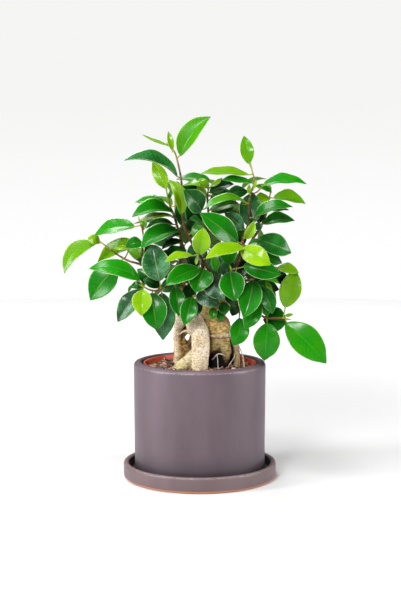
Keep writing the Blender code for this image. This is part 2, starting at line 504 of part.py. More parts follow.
class Crown:
    """What stands in the crown already, and the rule that bends each new leaf clear of it."""

    def __init__(self):
        self.blades = []        # (shoot name, base, box, tree of a swollen blade)
        self.wood = []          # (shoot name, beads, box)

    def add_wood(self, name, stem):
        grains = beads(stem)
        self.wood.append((name, grains, box_of(grains[:, :3], grains[:, 3].max() + CLEARANCE)))

    def is_clear(self, name, leaf, stalk):
        points, faces = blade(leaf, CLEARANCE)
        tree = BVHTree.FromPolygons(points.tolist(), faces)
        extent = box_of(points)
        grains = beads(stalk)
        reach = box_of(grains[:, :3], grains[:, 3].max() + CLEARANCE)
        for owner, base, box, other in self.blades:
            beside = owner == name and np.linalg.norm(base - leaf.base) < SHARED_FOOT
            if not beside and boxes_meet(extent, box) and tree.overlap(other):
                return None
            if owner != name and boxes_meet(reach, box) and touches(other, grains):
                return None
        for owner, old, box in self.wood:
            if owner == name:
                continue
            if boxes_meet(extent, box) and touches(tree, old):
                return None
            if boxes_meet(reach, box) and beads_meet(grains, old):
                return None
        return extent, tree

    def place(self, name, leaf, stems):
        """The leaf as it fits, with its stalk, or None where no bend of it is clear."""
        for size in BENT_SIZES:
            for move in nudges():
                tip = leaf.base + (leaf.tip - leaf.base) * size + move
                bent = leaf._replace(tip=tip, width=leaf.width * size)
                stalk = petiole(bent, stems)
                found = self.is_clear(name, bent, stalk)
                if found:
                    self.blades.append((name, bent.base, *found))
                    self.add_wood(name, stalk)
                    return bent, stalk
        return None


def touches(tree, grains):
    """Whether any bead of a stem comes within its radius and the clearance of a blade."""
    return any(tree.find_nearest(grain[:3], grain[3] + CLEARANCE)[0] for grain in grains.tolist())


def beads_meet(one, other):
    apart = np.linalg.norm(one[:, None, :3] - other[None, :, :3], axis=2)
    return bool(np.any(apart < one[:, None, 3] + other[None, :, 3] + 2 * CLEARANCE))


# The back of the crown
GOLDEN_ANGLE = math.pi * (3 - math.sqrt(5))
BACK_LEAVES = 7
BACK_STALK = 9.0
BACK_FIRST = 0.22               # where its lowest and highest leaves are along a stem
BACK_LAST = 0.98
BACK_LENGTH = 50.0              # of its lowest leaf
BACK_TAPER = 16.0               # how much shorter its highest one is
BACK_VARIETY = 4.0
BACK_DROOP = 0.35
BACK_BREADTH = 0.52             # of a leaf, in its lengths
BACK_ARCH = 4
BACK_FOLD = 14
BACK_CURVE_STEPS = 6            # steps in which each span of a stem is followed
BACK_SIDEWAYS = (0.3, 1.0, 0.1)  # crossed with a stem, this gives the side where the turning starts
BACK_LEAN = 0.35                # how much its lowest leaf points along the stem
BACK_LEAN_GAIN = 0.6            # and how much more its highest one does
BACK_FACE = (0, 0.25, 1.0)      # the way the leaves look, before the stem and their own turn tilt them
BACK_FACE_AHEAD = 0.5
BACK_FACE_OUTWARD = 0.3
# Each shoot behind: the place it grows from and its stem as (x, height, y, radius), seen square on.
BACK_SHOOTS = {
    "back_upper_left": ((3, 206, 20), [(-6, 214, 27, 2.2), (-14, 232, 36, 1.9), (-21, 252, 45, 1.5),
                                       (-26, 273, 50, 1.2), (-27, 294, 52, 0.9)]),
    "back_upper_right": ((5, 206, 20), [(14, 214, 27, 2.2), (24, 232, 37, 1.9), (32, 256, 47, 1.5),
                                        (37, 280, 53, 1.2), (40, 302, 55, 0.9)]),
    "back_left": ((3, 199, 18), [(-9, 204, 24, 2.1), (-22, 209, 29, 1.8), (-37, 212, 31, 1.4), (-52, 215, 31, 0.9)]),
    "back_right": ((5, 199, 18), [(18, 204, 24, 2.1), (35, 211, 28, 1.8), (52, 219, 30, 1.4), (68, 228, 31, 0.9)]),
    "back_low": ((5, 190, 16), [(4, 192, 25, 2.0), (2, 195, 40, 1.7), (-3, 194, 56, 1.3), (-8, 188, 70, 0.9)]),
    "back_middle": ((4, 200, 19), [(4, 206, 30, 2.2), (3, 216, 46, 1.9), (2, 230, 62, 1.4), (2, 246, 76, 0.9)]),
}


def spray(stem, count, turn):
    """Leaves set round a stem by the golden angle, from a third of the way up, shorter towards the tip."""
    curve = smooth(stem, BACK_CURVE_STEPS)
    leaves = []
    for i in range(count):
        part = i / (count - 1)
        row = int((BACK_FIRST + (BACK_LAST - BACK_FIRST) * part) * (len(curve) - 1))
        ahead = unit(curve[min(row + 1, len(curve) - 1), :3] - curve[row - 1, :3])
        side = unit(np.cross(ahead, BACK_SIDEWAYS))
        angle = turn + i * GOLDEN_ANGLE
        radial = side * math.cos(angle) + np.cross(ahead, side) * math.sin(angle)
        heading = unit(ahead * (BACK_LEAN + BACK_LEAN_GAIN * part) + radial)
        base = curve[row, :3] + BACK_STALK * heading
        length = BACK_LENGTH - BACK_TAPER * part + BACK_VARIETY * math.sin(5 * i + turn)
        tip = base + unit(heading - (0, 0, BACK_DROOP)) * length
        face = unit(BACK_FACE + BACK_FACE_AHEAD * ahead - BACK_FACE_OUTWARD * radial)
        leaves.append(Leaf(base, tip, BACK_BREADTH * length, tuple(face), BACK_ARCH, 0, BACK_FOLD))
    return leaves


def real_leaf(leaf):
    return leaf._replace(base=seen(leaf.base), tip=seen(leaf.tip))


def grown_shoots():
    """Every shoot as (name, root, stems, leaves) in real places, before its leaves are bent clear."""
    shoots = []
    for name, shoot in SHOOTS.items():
        stems = [route(stem) for stem in shoot.stems]
        shoots.append((name, seen(shoot.root), stems, [real_leaf(leaf) for leaf in shoot.leaves]))
    for turn, (name, (root, stem)) in enumerate(BACK_SHOOTS.items()):
        points = np.array(stem)[:, [0, 2, 1, 3]]
        x, z, y = root
        shoots.append((name, np.array((x, y, z), float), [points], spray(points, BACK_LEAVES, turn)))
    return shoots


def stub(root, stem):
    """A short side branch of the wood that ends square, a gap away from a shoot's foot."""
    heading = unit(stem[1, :3] - stem[0, :3])
    radius = stem[0, 3] + STUB_COLLAR
    end = stem[0, :3] - GAP * heading
    return np.array([(*root, radius), (*(end - STUB_END * heading), radius), (*end, radius)])


def wooden_parts(shoots):
    """The points of every root, graft and stub of the trunk."""
    parts = [route(points) for points in (*ROOTS.values(), *GRAFTS.values())]
    return parts + [stub(root, stems[0]) for _, root, stems, _ in shoots]


def settled_leaves(shoots):
    """Each shoot's leaves as (leaf, stalk) pairs, set one by one from the front back, clear of the rest."""
    crown = Crown()
    for points in wooden_parts(shoots):
        crown.add_wood("trunk", points)
    for name, _, stems, _ in shoots:
        for stem in stems:
            crown.add_wood(name, stem)
    waiting = [(leaf, name, stems) for name, _, stems, leaves in shoots for leaf in leaves]
    waiting.sort(key=lambda entry: entry[0].base[1] + entry[0].tip[1])
    settled = {name: [] for name, *_ in shoots}
    for leaf, name, stems in waiting:
        found = crown.place(name, leaf, stems)
        if found:
            settled[name].append(found)
    return settled


# Making the pieces

def clear_scene():
    for thing in list(bpy.data.objects):
        bpy.data.objects.remove(thing, do_unlink=True)


def collection(name):
    group = bpy.data.collections.get(name) or bpy.data.collections.new(name)
    if group.name not in bpy.context.scene.collection.children:
        bpy.context.scene.collection.children.link(group)
    return group


def material(name, colour, roughness):
    surface = bpy.data.materials.get(name) or bpy.data.materials.new(name)
    surface.use_nodes = True
    shader = surface.node_tree.nodes["Principled BSDF"]
    shader.inputs["Base Color"].default_value = (*colour, 1)
    shader.inputs["Roughness"].default_value = roughness
    surface.diffuse_color = (*colour, 1)
    return surface


def add(name, mesh, surface, group):
    piece = bpy.data.objects.new(name, mesh)
    collection(group).objects.link(piece)
    if surface:
        mesh.materials.append(surface)
    return piece


def evaluated_mesh(piece):
    depsgraph = bpy.context.evaluated_depsgraph_get()
    return bpy.data.meshes.new_from_object(piece.evaluated_get(depsgraph))


def tube_mesh(points):
    """A closed tapering tube through (x, y, z, radius) points, with 8, 6 or 4 sides as it is thick or thin."""
    thickest = points[:, 3].max()
    resolution = 2 if thickest > THICK_WOOD else 1 if thickest > THIN_WOOD else 0
    curve = bpy.data.curves.new("tube", "CURVE")
    curve.dimensions = "3D"
    curve.bevel_depth = MM
    curve.bevel_resolution = resolution
    curve.use_fill_caps = True
    spline = curve.splines.new("POLY")
    spline.points.add(len(points) - 1)
    for knot, (x, y, z, radius) in zip(spline.points, points):
        knot.co = (x * MM, y * MM, z * MM, 1)
        knot.radius = radius
    guide = add("tube", curve, None, "Guides")
    mesh = evaluated_mesh(guide)
    bpy.data.objects.remove(guide)
    weld = bmesh.new()
    weld.from_mesh(mesh)
    bmesh.ops.remove_doubles(weld, verts=weld.verts, dist=WELD_DISTANCE)
    weld.to_mesh(mesh)
    weld.free()
    return mesh


def plain_mesh(points, faces):
    mesh = bpy.data.meshes.new("blade")
    mesh.from_pydata((np.asarray(points) * MM).tolist(), [], faces)
    return mesh


def fuse(name, meshes, surface):
    """One body made of closed meshes that run into each other."""
    base = add(name, meshes[0], None, "Ginseng ficus")
    joined = [add("joined", mesh, None, "Joined") for mesh in meshes[1:]]
    union = base.modifiers.new("Join", "BOOLEAN")
    union.operation = "UNION"
    union.operand_type = "COLLECTION"
    union.collection = collection("Joined")
    union.solver = "MANIFOLD"
    whole = evaluated_mesh(base)
    for operand in joined + [base]:
        bpy.data.objects.remove(operand)
    whole.materials.clear()
    body = add(name, whole, surface, "Ginseng ficus")
    whole.shade_smooth()
    whole.set_sharp_from_angle(angle=math.radians(SMOOTHED_ANGLE))
    return body


def arc(centre, radius, start, end, steps=4):
    """Points (radius, height) of a section's rounded corner, angles in degrees from straight outwards."""
    angles = np.radians(np.linspace(start, end, steps + 1))
    return [(centre[0] + radius * math.cos(a), centre[1] + radius * math.sin(a)) for a in angles]


def turned(name, section, surface, closed=True):
    """A section of (radius, height) points spun about the plant's axis."""
    mesh = bpy.data.meshes.new(name)
    last = len(section) if closed else len(section) - 1
    edges = [(i, (i + 1) % len(section)) for i in range(last)]
    mesh.from_pydata([(radius * MM, 0, height * MM) for radius, height in section], edges, [])
    body = add(name, mesh, surface, "Ginseng ficus")
    spin = body.modifiers.new("Spin", "SCREW")
    spin.steps = ROUND_STEPS
    spin.render_steps = ROUND_STEPS
    spin.use_merge_vertices = True
    spin.merge_threshold = 0.00001
    spin.use_smooth_shade = True
    return body


def saucer_section():
    inner = SAUCER_RADIUS - SAUCER_WALL
    lip = SAUCER_WALL / 2
    top = SAUCER_HEIGHT - lip
    section = arc((SAUCER_RADIUS - lip, top), lip, 180, 0, 4)
    section += arc((SAUCER_RADIUS - SAUCER_EDGE, SAUCER_EDGE), SAUCER_EDGE, 0, -90, 2)
    section += [(0.0, 0.0), (0.0, SAUCER_FLOOR)]
    section += arc((inner - SAUCER_CORNER, SAUCER_FLOOR + SAUCER_CORNER), SAUCER_CORNER, -90, 0, 1)
    return section


def pot_section():
    inner = POT_RADIUS - POT_WALL
    section = arc((inner + POT_INNER_LIP, POT_TOP - POT_INNER_LIP), POT_INNER_LIP, 180, 90, 2)
    section += arc((POT_RADIUS - POT_LIP, POT_TOP - POT_LIP), POT_LIP, 90, 0, 3)
    section += arc((POT_BASE_RADIUS - POT_FOOT_EDGE, POT_BOTTOM + POT_FOOT_EDGE), POT_FOOT_EDGE, 0, -90, 2)
    section += [(DRAIN_RADIUS, POT_BOTTOM), (DRAIN_RADIUS, POT_BOTTOM + POT_FLOOR)]
    section += arc((inner - POT_CORNER, POT_BOTTOM + POT_FLOOR + POT_CORNER), POT_CORNER, -90, 0, 1)
    return section


def liner_section():
    """The nursery pot: a thin tapering cup with a thick rim and one hole in its floor."""
    under_rim = LINER_TOP - LINER_RIM_DROP
    bevel = LINER_RADIUS - LINER_RIM_BEVEL / 2
    section = [(LINER_RADIUS - LINER_RIM_WALL, LINER_TOP), (bevel, LINER_TOP)]
    section += [(LINER_RADIUS, LINER_TOP - LINER_RIM_BEVEL), (bevel, under_rim), (LINER_SHOULDER, under_rim)]
    section += [(LINER_BASE_RADIUS, LINER_BOTTOM), (DRAIN_RADIUS, LINER_BOTTOM)]
    section += [(DRAIN_RADIUS, LINER_BOTTOM + LINER_WALL), (LINER_BASE_RADIUS - LINER_WALL, LINER_BOTTOM + LINER_WALL)]
    section += [(LINER_SHOULDER - LINER_WALL, under_rim)]
    return section


def lumps(x, y):
    """Height of the potting mix's lumps at a place: crossed waves of unlike lengths."""
    coarse = math.sin(0.27 * x + 1.1) * math.sin(0.31 * y - 0.4)
    fine = math.sin(0.71 * x + 0.43 * y) * math.cos(0.58 * y - 0.37 * x)
    return SOIL_RELIEF * (0.6 * coarse + 0.4 * fine)


def soil_mesh(surface):
    """The plug of potting mix: turned, then its top raised into lumps that fade at the nursery pot's wall."""
    under_rim = LINER_TOP - LINER_RIM_DROP
    wall = LINER_WALL + GAP
    edge = LINER_SHOULDER - wall
    section = [(edge * i / SOIL_RINGS, SOIL_LEVEL) for i in range(SOIL_RINGS)]
    section += [(edge, SOIL_LEVEL - SOIL_EDGE_DROP), (edge, under_rim)]
    section += [(LINER_BASE_RADIUS - wall, LINER_BOTTOM + wall), (0.0, LINER_BOTTOM + wall)]
    turning = turned("soil", section, None, closed=False)
    mesh = evaluated_mesh(turning)
    bpy.data.objects.remove(turning)
    for corner in mesh.vertices:
        x, y, z = (corner.co / MM)
        if z > SOIL_LEVEL - SOIL_EDGE_DROP / 2:
            corner.co.z += lumps(x, y) * (1 - (math.hypot(x, y) / edge) ** 4) * MM
    return add("soil", mesh, surface, "Ginseng ficus")


def soil_with_holes(surface):
    """The potting mix with a plain hole for each root that goes down into it."""
    soil = soil_mesh(surface)
    for points in ROOTS.values():
        path = route(points)
        if path[-1, 2] > SOIL_LEVEL - 2 * SOIL_RELIEF:
            continue
        path[-1, :3] += unit(path[-1, :3] - path[-2, :3]) * HOLE_GAP
        path[:, 3] += HOLE_GAP
        cutter = add("hole", tube_mesh(path), None, "Cutters")
        cutter.hide_render = True
        cutter.display_type = "WIRE"
    cut = soil.modifiers.new("Root holes", "BOOLEAN")
    cut.operation = "DIFFERENCE"
    cut.operand_type = "COLLECTION"
    cut.collection = collection("Cutters")
    cut.solver = "MANIFOLD"
    return soil


def build():
    clear_scene()
    clay = material("clay", (0.24, 0.19, 0.21), 0.55)
    terracotta = material("terracotta", (0.52, 0.13, 0.06), 0.6)
    earth = material("earth", (0.09, 0.05, 0.03), 0.95)
    bark = material("bark", (0.52, 0.42, 0.27), 0.8)
    foliage = material("foliage", (0.05, 0.25, 0.02), 0.35)

    turned("saucer", saucer_section(), clay)
    turned("pot", pot_section(), clay)
    turned("nursery_pot", liner_section(), terracotta)
    soil_with_holes(earth)

    shoots = grown_shoots()
    fuse("trunk", [tube_mesh(points) for points in wooden_parts(shoots)], bark)
    settled = settled_leaves(shoots)
    for name, _, stems, _ in shoots:
        meshes = [tube_mesh(stem) for stem in stems]
        meshes += [plain_mesh(*blade(leaf, stalk=stalk)) for leaf, stalk in settled[name]]
        fuse("shoot_" + name, meshes, foliage)
    print("leaves set:", {name: len(leaves) for name, leaves in settled.items()})


build()
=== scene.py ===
# %% [markdown]
# # A ginseng ficus in a clay pot
# The plant is a small grafted fig: swollen roots that cross and grow together, a few grafted stems on top,
# and about 160 glossy leaves.  It stands in a terracotta-coloured nursery pot inside a straight matte clay
# pot on a saucer.  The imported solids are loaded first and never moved.  Every finer surface below is worked
# out from the same places and sizes as those solids, so nothing has to be fitted afterwards.

import math
from collections import namedtuple

import bpy
import numpy as np
from mathutils.bvhtree import BVHTree
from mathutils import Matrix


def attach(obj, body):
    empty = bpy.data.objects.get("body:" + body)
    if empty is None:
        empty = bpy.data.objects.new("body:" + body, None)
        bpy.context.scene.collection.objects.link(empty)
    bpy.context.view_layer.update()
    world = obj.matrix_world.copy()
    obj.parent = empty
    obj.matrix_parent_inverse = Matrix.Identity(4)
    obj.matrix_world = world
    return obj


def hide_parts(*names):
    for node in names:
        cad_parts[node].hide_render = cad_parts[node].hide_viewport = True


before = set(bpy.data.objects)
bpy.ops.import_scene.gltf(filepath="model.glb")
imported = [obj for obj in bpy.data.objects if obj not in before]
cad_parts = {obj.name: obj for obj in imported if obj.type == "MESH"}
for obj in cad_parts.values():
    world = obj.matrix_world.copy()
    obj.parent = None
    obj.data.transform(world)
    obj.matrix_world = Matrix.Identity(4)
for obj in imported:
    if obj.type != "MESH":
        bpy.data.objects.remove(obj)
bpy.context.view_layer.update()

# %% [markdown]
# ## Units and the camera
# Places are easier to read in millimetres, so the sizes below are in millimetres and become metres when a
# mesh is made.  The camera stands straight in front, a good meter away and level with the top leaves,
# looking a little down: that is how far the ellipses of the rims open in the photograph.

# %% Camera
MM = 0.001
FRAME_WIDTH = 401               # pixels
FRAME_HEIGHT = 601
FOCAL_PIXELS = 1348             # focal length, in pixels of the photograph
EYE_ACROSS = 0.8
EYE_DISTANCE = 1415.0
EYE_HEIGHT = 352.0
PITCH_DOWN = 6.59               # degrees
SENSOR_MM = 36

camera_data = bpy.data.cameras.new("camera")
camera_data.sensor_width = SENSOR_MM
camera_data.lens = SENSOR_MM * FOCAL_PIXELS / FRAME_HEIGHT
camera = bpy.data.objects.new("camera", camera_data)
camera.location = (EYE_ACROSS * MM, -EYE_DISTANCE * MM, EYE_HEIGHT * MM)
camera.rotation_euler = (math.radians(90 - PITCH_DOWN), 0, 0)
bpy.context.scene.collection.objects.link(camera)
bpy.context.scene.camera = camera
print("lens:", round(camera_data.lens, 1), "mm on a", SENSOR_MM, "mm sensor")
print("frame:", FRAME_WIDTH, "x", FRAME_HEIGHT, "pixels")

# %% [markdown]
# ## Shader maths as arithmetic
# A finish is mostly arithmetic on patterns: a speckle mask here, one minus that mask there.  Wiring Math
# nodes by hand hides the formula, so a socket is wrapped in a small class whose operators add the nodes.
# Everything that isn't plain arithmetic comes from one method that takes the node's type, its settings and
# its inputs.

# %% Shader values
class Value:
    """A node's output that answers to + - * / and a few named operations, adding a Math node for each."""

    def __init__(self, finish, socket):
        self.finish = finish
        self.socket = socket

    def _math(self, operation, *values):
        return self.finish.node("ShaderNodeMath", {"operation": operation}, dict(enumerate(values)))

    def __add__(self, other):
        return self._math("ADD", self, other)

    def __radd__(self, other):
        return self._math("ADD", other, self)

    def __sub__(self, other):
        return self._math("SUBTRACT", self, other)

    def __rsub__(self, other):
        return self._math("SUBTRACT", other, self)

    def __mul__(self, other):
        return self._math("MULTIPLY", self, other)

    def __rmul__(self, other):
        return self._math("MULTIPLY", other, self)

    def __truediv__(self, other):
        return self._math("DIVIDE", self, other)

    def __rtruediv__(self, other):
        return self._math("DIVIDE", other, self)

    def __pow__(self, other):
        return self._math("POWER", self, other)

    def __abs__(self):
        return self._math("ABSOLUTE", self)

    def fraction(self):
        return self._math("FRACT", self)

    def wave(self):
        return self._math("SINE", self)

    def step(self, low, high):
        """A soft step: 0 below `low`, 1 above `high`, or the reverse where `low` is the larger."""
        settings = {"interpolation_type": "SMOOTHSTEP"}
        if low < high:
            return self.finish.node("ShaderNodeMapRange", settings, {0: self, 1: low, 2: high})
        return self.finish.node("ShaderNodeMapRange", settings, {0: self, 1: high, 2: low, 3: 1.0, 4: 0.0})


def paint(red, green, blue):
    """A colour as a screen shows it, 0 to 255, turned into the linear colour that shaders use."""
    screen = np.array((red, green, blue)) / 255
    linear = np.where(screen <= 0.04045, screen / 12.92, ((screen + 0.055) / 1.055) ** 2.4)
    return (*(float(part) for part in linear), 1.0)


class Finish:
    """A material with one Principled shader, its fixed values, and methods that add pattern nodes."""

    def __init__(self, name, **fixed):
        self.material = bpy.data.materials.new(name)
        self.material.use_nodes = True
        self.tree = self.material.node_tree
        self.shader = self.tree.nodes["Principled BSDF"]
        for key, value in fixed.items():
            self.shader.inputs[key.replace("_", " ")].default_value = value

    def node(self, kind, settings=None, inputs=None, output=0):
        made = self.tree.nodes.new(kind)
        for key, value in (settings or {}).items():
            if key == "stops":
                self._set_stops(made.color_ramp, value)
            else:
                setattr(made, key, value)
        for key, value in (inputs or {}).items():
            if isinstance(value, Value):
                self.tree.links.new(value.socket, made.inputs[key])
            else:
                made.inputs[key].default_value = value
        return Value(self, made.outputs[output])

    @staticmethod
    def _set_stops(ramp, stops):
        while len(ramp.elements) < len(stops):
            ramp.elements.new(0.5)
        for element, (place, colour) in zip(ramp.elements, stops):
            element.position = place
            element.color = colour

    def place(self):
        """Object coordinates, in metres."""
        return self.node("ShaderNodeTexCoord", output="Object")

    def along(self, axis):
        return self.node("ShaderNodeSeparateXYZ", inputs={0: self.place()}, output=axis)

    def radius(self):
        """Distance from the plant's upright axis, in metres."""
        x, y = self.along(0), self.along(1)
        return (x * x + y * y) ** 0.5

    def uv(self, axis):
        return self.node("ShaderNodeSeparateXYZ", inputs={0: self.node("ShaderNodeUVMap")}, output=axis)

    def attribute(self, name):
        return self.node("ShaderNodeAttribute", {"attribute_name": name}, output="Fac")

    def stretched(self, scale):
        return self.node("ShaderNodeMapping", inputs={"Vector": self.place(), "Scale": scale})

    def noise(self, scale, detail=3.0, roughness=0.55, vector=None):
        """Clouds of about 1 / scale metres across, from 0 to 1 round 0.5."""
        inputs = {"Vector": vector or self.place(), "Scale": scale, "Detail": detail, "Roughness": roughness}
        return self.node("ShaderNodeTexNoise", inputs=inputs)

    def cells(self, scale):
        """Distance to the nearest of points scattered about 1 / scale metres apart."""
        inputs = {"Vector": self.place(), "Scale": scale}
        return self.node("ShaderNodeTexVoronoi", inputs=inputs, output="Distance")

    def ramp(self, value, *stops):
        return self.node("ShaderNodeValToRGB", {"stops": stops}, {0: value})

    def blend(self, factor, first, second):
        return self.node("ShaderNodeMix", {"data_type": "RGBA"}, {0: factor, 6: first, 7: second}, output=2)

    def feed(self, **values):
        for key, value in values.items():
            self.tree.links.new(value.socket, self.shader.inputs[key.replace("_", " ")])

    def relief(self, height, depth):
        """Bumps of `depth` metres where `height` goes from 0 to 1."""
        self.feed(Normal=self.node("ShaderNodeBump", inputs={"Height": height, "Distance": depth}))


print("a screen's mid grey is", round(paint(128, 128, 128)[0], 3), "in linear light")

# %% [markdown]
# ## Surfaces as grids
# Nearly every piece here is one rule applied to a grid: rows along the piece, columns round or across it.
# The points of the whole grid are worked out at once as an array, and one function joins neighbours into
# four-sided faces.  Another puts points, faces, map and attributes into a mesh.

# %% Grids and meshes
def grid_faces(rows, columns):
    """Corner numbers of the faces between neighbouring rows of a grid whose last column joins its first."""
    numbers = np.arange(rows * columns).reshape(rows, columns)
    right = np.roll(numbers, -1, axis=1)
    return np.stack((numbers[:-1], right[:-1], right[1:], numbers[1:]), axis=-1).reshape(-1, 4)


def fan_faces(ring, pole, outward=True):
    """Triangles that close a ring of corner numbers with one point."""
    following = np.roll(ring, -1)
    fan = np.stack((ring, following, np.full_like(ring, pole)), axis=-1)
    return fan if outward else fan[:, ::-1]


def turned(profile, columns):
    """A profile of (r, z) carried once round the axis, as a grid of points (r cos a, r sin a, z)."""
    profile = np.asarray(profile, float)
    angle = np.linspace(0, 2 * np.pi, columns, endpoint=False)
    radius, height = profile[:, :1], profile[:, 1:]
    return np.stack((radius * np.cos(angle), radius * np.sin(angle), height + 0 * angle), axis=-1)


def joined(bodies):
    """Many bodies of (points, faces) as one: the corner numbers of each run on from the last."""
    starts = np.cumsum([0] + [len(points) for points, _ in bodies]).tolist()
    faces = [[corner + start for corner in face] for start, (_, body_faces) in zip(starts, bodies)
             for face in body_faces]
    return np.vstack([points for points, _ in bodies]), faces


def add_number(mesh, key, values):
    """One number per point, kept in the mesh as an attribute."""
    layer = mesh.attributes.new(key, "FLOAT", "POINT")
    layer.data.foreach_set("value", np.asarray(values, dtype=np.float32))


def make_mesh(name, points, faces, across=None, **numbers):
    """A smooth mesh in metres from points in millimetres, with a map `across` and one number per point."""
    mesh = bpy.data.meshes.new(name)
    mesh.from_pydata((np.asarray(points) * MM).tolist(), [], [list(face) for face in faces])
    if across is not None:
        corners = np.empty(len(mesh.loops), dtype=np.int32)
        mesh.loops.foreach_get("vertex_index", corners)
        layer = mesh.uv_layers.new(name="across")
        layer.data.foreach_set("uv", np.asarray(across, dtype=np.float32)[corners].ravel())
    for key, values in numbers.items():
        add_number(mesh, key, values)
    mesh.shade_smooth()
    mesh.update()
    return mesh


def placed(name, mesh, finish):
    """An object for a mesh, at the origin, with its finish."""
    piece = bpy.data.objects.new(name, mesh)
    bpy.context.scene.collection.objects.link(piece)
    mesh.materials.append(finish.material)
    return piece


def show(name, mesh, finish, *nodes, slot):
    """A piece of the plant: it rides on the plant's one body and stands for the CAD nodes named."""
    piece = placed(name, mesh, finish)
    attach(piece, "root")
    if nodes:
        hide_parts(*nodes)
    print(name, "has", len(mesh.polygons), "faces")


print("a ring of 4 points on 2 rows has the faces", grid_faces(2, 4).tolist())

# %% [markdown]
# ## Floor and light
# The photograph was taken on white, with large soft lamps: the pot is lighter down both flanks than in the
# middle, and its shadow is faint.  A round pale floor, a dim surround and five soft lamps give that: one
# big lamp on each side and smaller ones above, in front and behind.  The floor bends up into a pale wall
# that runs once round, outside every camera, and that lights nothing.

# %% Floor and light
FLOOR_DROP = -0.05              # just under the saucer
FLOOR_RADII = (1, 400, 1700)    # the camera stands inside the last, on every side
WALL_BEND = 500
WALL_BEND_ROWS = 17
WALL_TOP = 2600
STAGE_COLUMNS = 96
FLOOR_FADE = (0.3, 1.2)         # metres from the plant where the floor passes from lit to glowing white
WALL_FADE = (0.05, 0.5)         # metres up the wall where its white is toned down a little
FLOOR_GREY = paint(209, 209, 209)
FLOOR_GLOW = paint(214, 214, 214)
WALL_WHITE = paint(255, 255, 255)
WALL_HIGH = paint(245, 245, 244)
NO_LIGHT = paint(0, 0, 0)


def set_up(name, profile, finish):
    """A round part of the stage, from its profile of (r, z)."""
    points = turned(profile, STAGE_COLUMNS).reshape(-1, 3)
    piece = placed(name, make_mesh(name, points, grid_faces(len(profile), STAGE_COLUMNS)), finish)
    return piece


floor_paint = Finish("floor paint", Roughness=0.9, Specular_IOR_Level=0.1, Base_Color=FLOOR_GREY,
                     Emission_Strength=1.0)
far_floor = floor_paint.radius().step(*FLOOR_FADE)
floor_paint.feed(Emission_Color=floor_paint.blend(far_floor, NO_LIGHT, FLOOR_GLOW))
set_up("floor", [(radius, FLOOR_DROP) for radius in FLOOR_RADII], floor_paint)

bend = np.linspace(0, np.pi / 2, WALL_BEND_ROWS)
wall_profile = [(FLOOR_RADII[-1] + WALL_BEND * math.sin(a), FLOOR_DROP + WALL_BEND * (1 - math.cos(a)))
                for a in bend]
wall_profile += [(FLOOR_RADII[-1] + WALL_BEND, WALL_TOP)]
wall_paint = Finish("wall paint", Roughness=1.0, Specular_IOR_Level=0.0, Base_Color=NO_LIGHT,
                    Emission_Strength=1.0)
high = wall_paint.along(2).step(*WALL_FADE)
wall_paint.feed(Emission_Color=wall_paint.blend(high, WALL_WHITE, WALL_HIGH))
wall = set_up("wall", wall_profile, wall_paint)
wall.visible_diffuse = False
wall.visible_glossy = False
wall.visible_shadow = False

LAMPS = {                       # place in metres, size in metres, power in watts
    "left lamp": ((-1.35, -0.45, 0.65), (0.4, 0.9), 22),
    "right lamp": ((1.35, -0.35, 0.6), (0.35, 0.9), 18),
    "top lamp": ((-0.3, -0.5, 1.5), (0.5, 0.5), 15),
    "front lamp": ((-0.45, -1.35, 0.8), (0.3, 0.3), 15),
    "back lamp": ((-0.35, 0.75, 1.35), (0.6, 0.35), 12),
}
AIM = np.array((0.0, 0.0, 0.2))
for lamp_name, (lamp_place, lamp_size, power) in LAMPS.items():
    lamp_data = bpy.data.lights.new(lamp_name, "AREA")
    lamp_data.shape = "RECTANGLE"
    lamp_data.size, lamp_data.size_y = lamp_size
    lamp_data.energy = power
    lamp = bpy.data.objects.new(lamp_name, lamp_data)
    lamp.location = lamp_place
    direction = AIM - np.array(lamp_place)
    lamp.rotation_euler = (math.acos(-direction[2] / np.linalg.norm(direction)), 0,
                           math.atan2(direction[1], direction[0]) - math.pi / 2)
    bpy.context.scene.collection.objects.link(lamp)

SURROUND = 0.06
surround = bpy.data.worlds.new("surround")
surround.use_nodes = True
surround.node_tree.nodes["Background"].inputs["Color"].default_value = (1, 1, 1, 1)
surround.node_tree.nodes["Background"].inputs["Strength"].default_value = SURROUND
bpy.context.scene.world = surround
bpy.context.scene.view_settings.view_transform = "Standard"
print("lamps:", ", ".join(LAMPS))

# %% [markdown]
# ## Clay pot and saucer
# Both are turned pieces.  A real thrown or cast pot has no sharp edge anywhere: the rim is a roll of about
# four millimetres and the saucer's foot is rounded too.  The section is written as a short list of corners,
# each with its rounding, and a function turns that list into a smooth closed outline before it is spun.

# %% Turned pieces
POT_RADIUS = 70.0
POT_BASE_RADIUS = 69.3
POT_TOP = 124.2
POT_BOTTOM = 6.3
POT_WALL = 8.5
POT_FLOOR = 8.0
POT_LIP = 4.2
POT_FOOT_EDGE = 2.2
DRAIN_RADIUS = 7.0
SAUCER_RADIUS = 81.3
SAUCER_HEIGHT = 16.8
SAUCER_WALL = 5.8
SAUCER_FLOOR = 6.0
SAUCER_EDGE = 3.6
AXIS_GAP = 0.2                  # a closed section stays this far from the axis
TURNED_COLUMNS = 160
CLAY_STRETCH = 6                # longest step along the section of a clay piece


def rounded(corners, steps=6):
    """A closed outline from (radius, height, rounding) corners.

    Each corner becomes a quadratic curve (1 - t)^2 start + 2 t (1 - t) corner + t^2 end, from a point
    `rounding` before the corner to a point `rounding` after it."""
    corners = np.array(corners, float)
    places = corners[:, :2]
    outline = []
    neighbours = zip(np.roll(places, 1, 0), places, np.roll(places, -1, 0), corners[:, 2])
    for before, corner, after, reach in neighbours:
        start = corner + unit(before - corner) * reach
        end = corner + unit(after - corner) * reach
        t = np.linspace(0, 1, steps)[:, None] if reach else np.zeros((1, 1))
        outline.append((1 - t) ** 2 * start + 2 * t * (1 - t) * corner + t**2 * end)
    return np.vstack(outline)


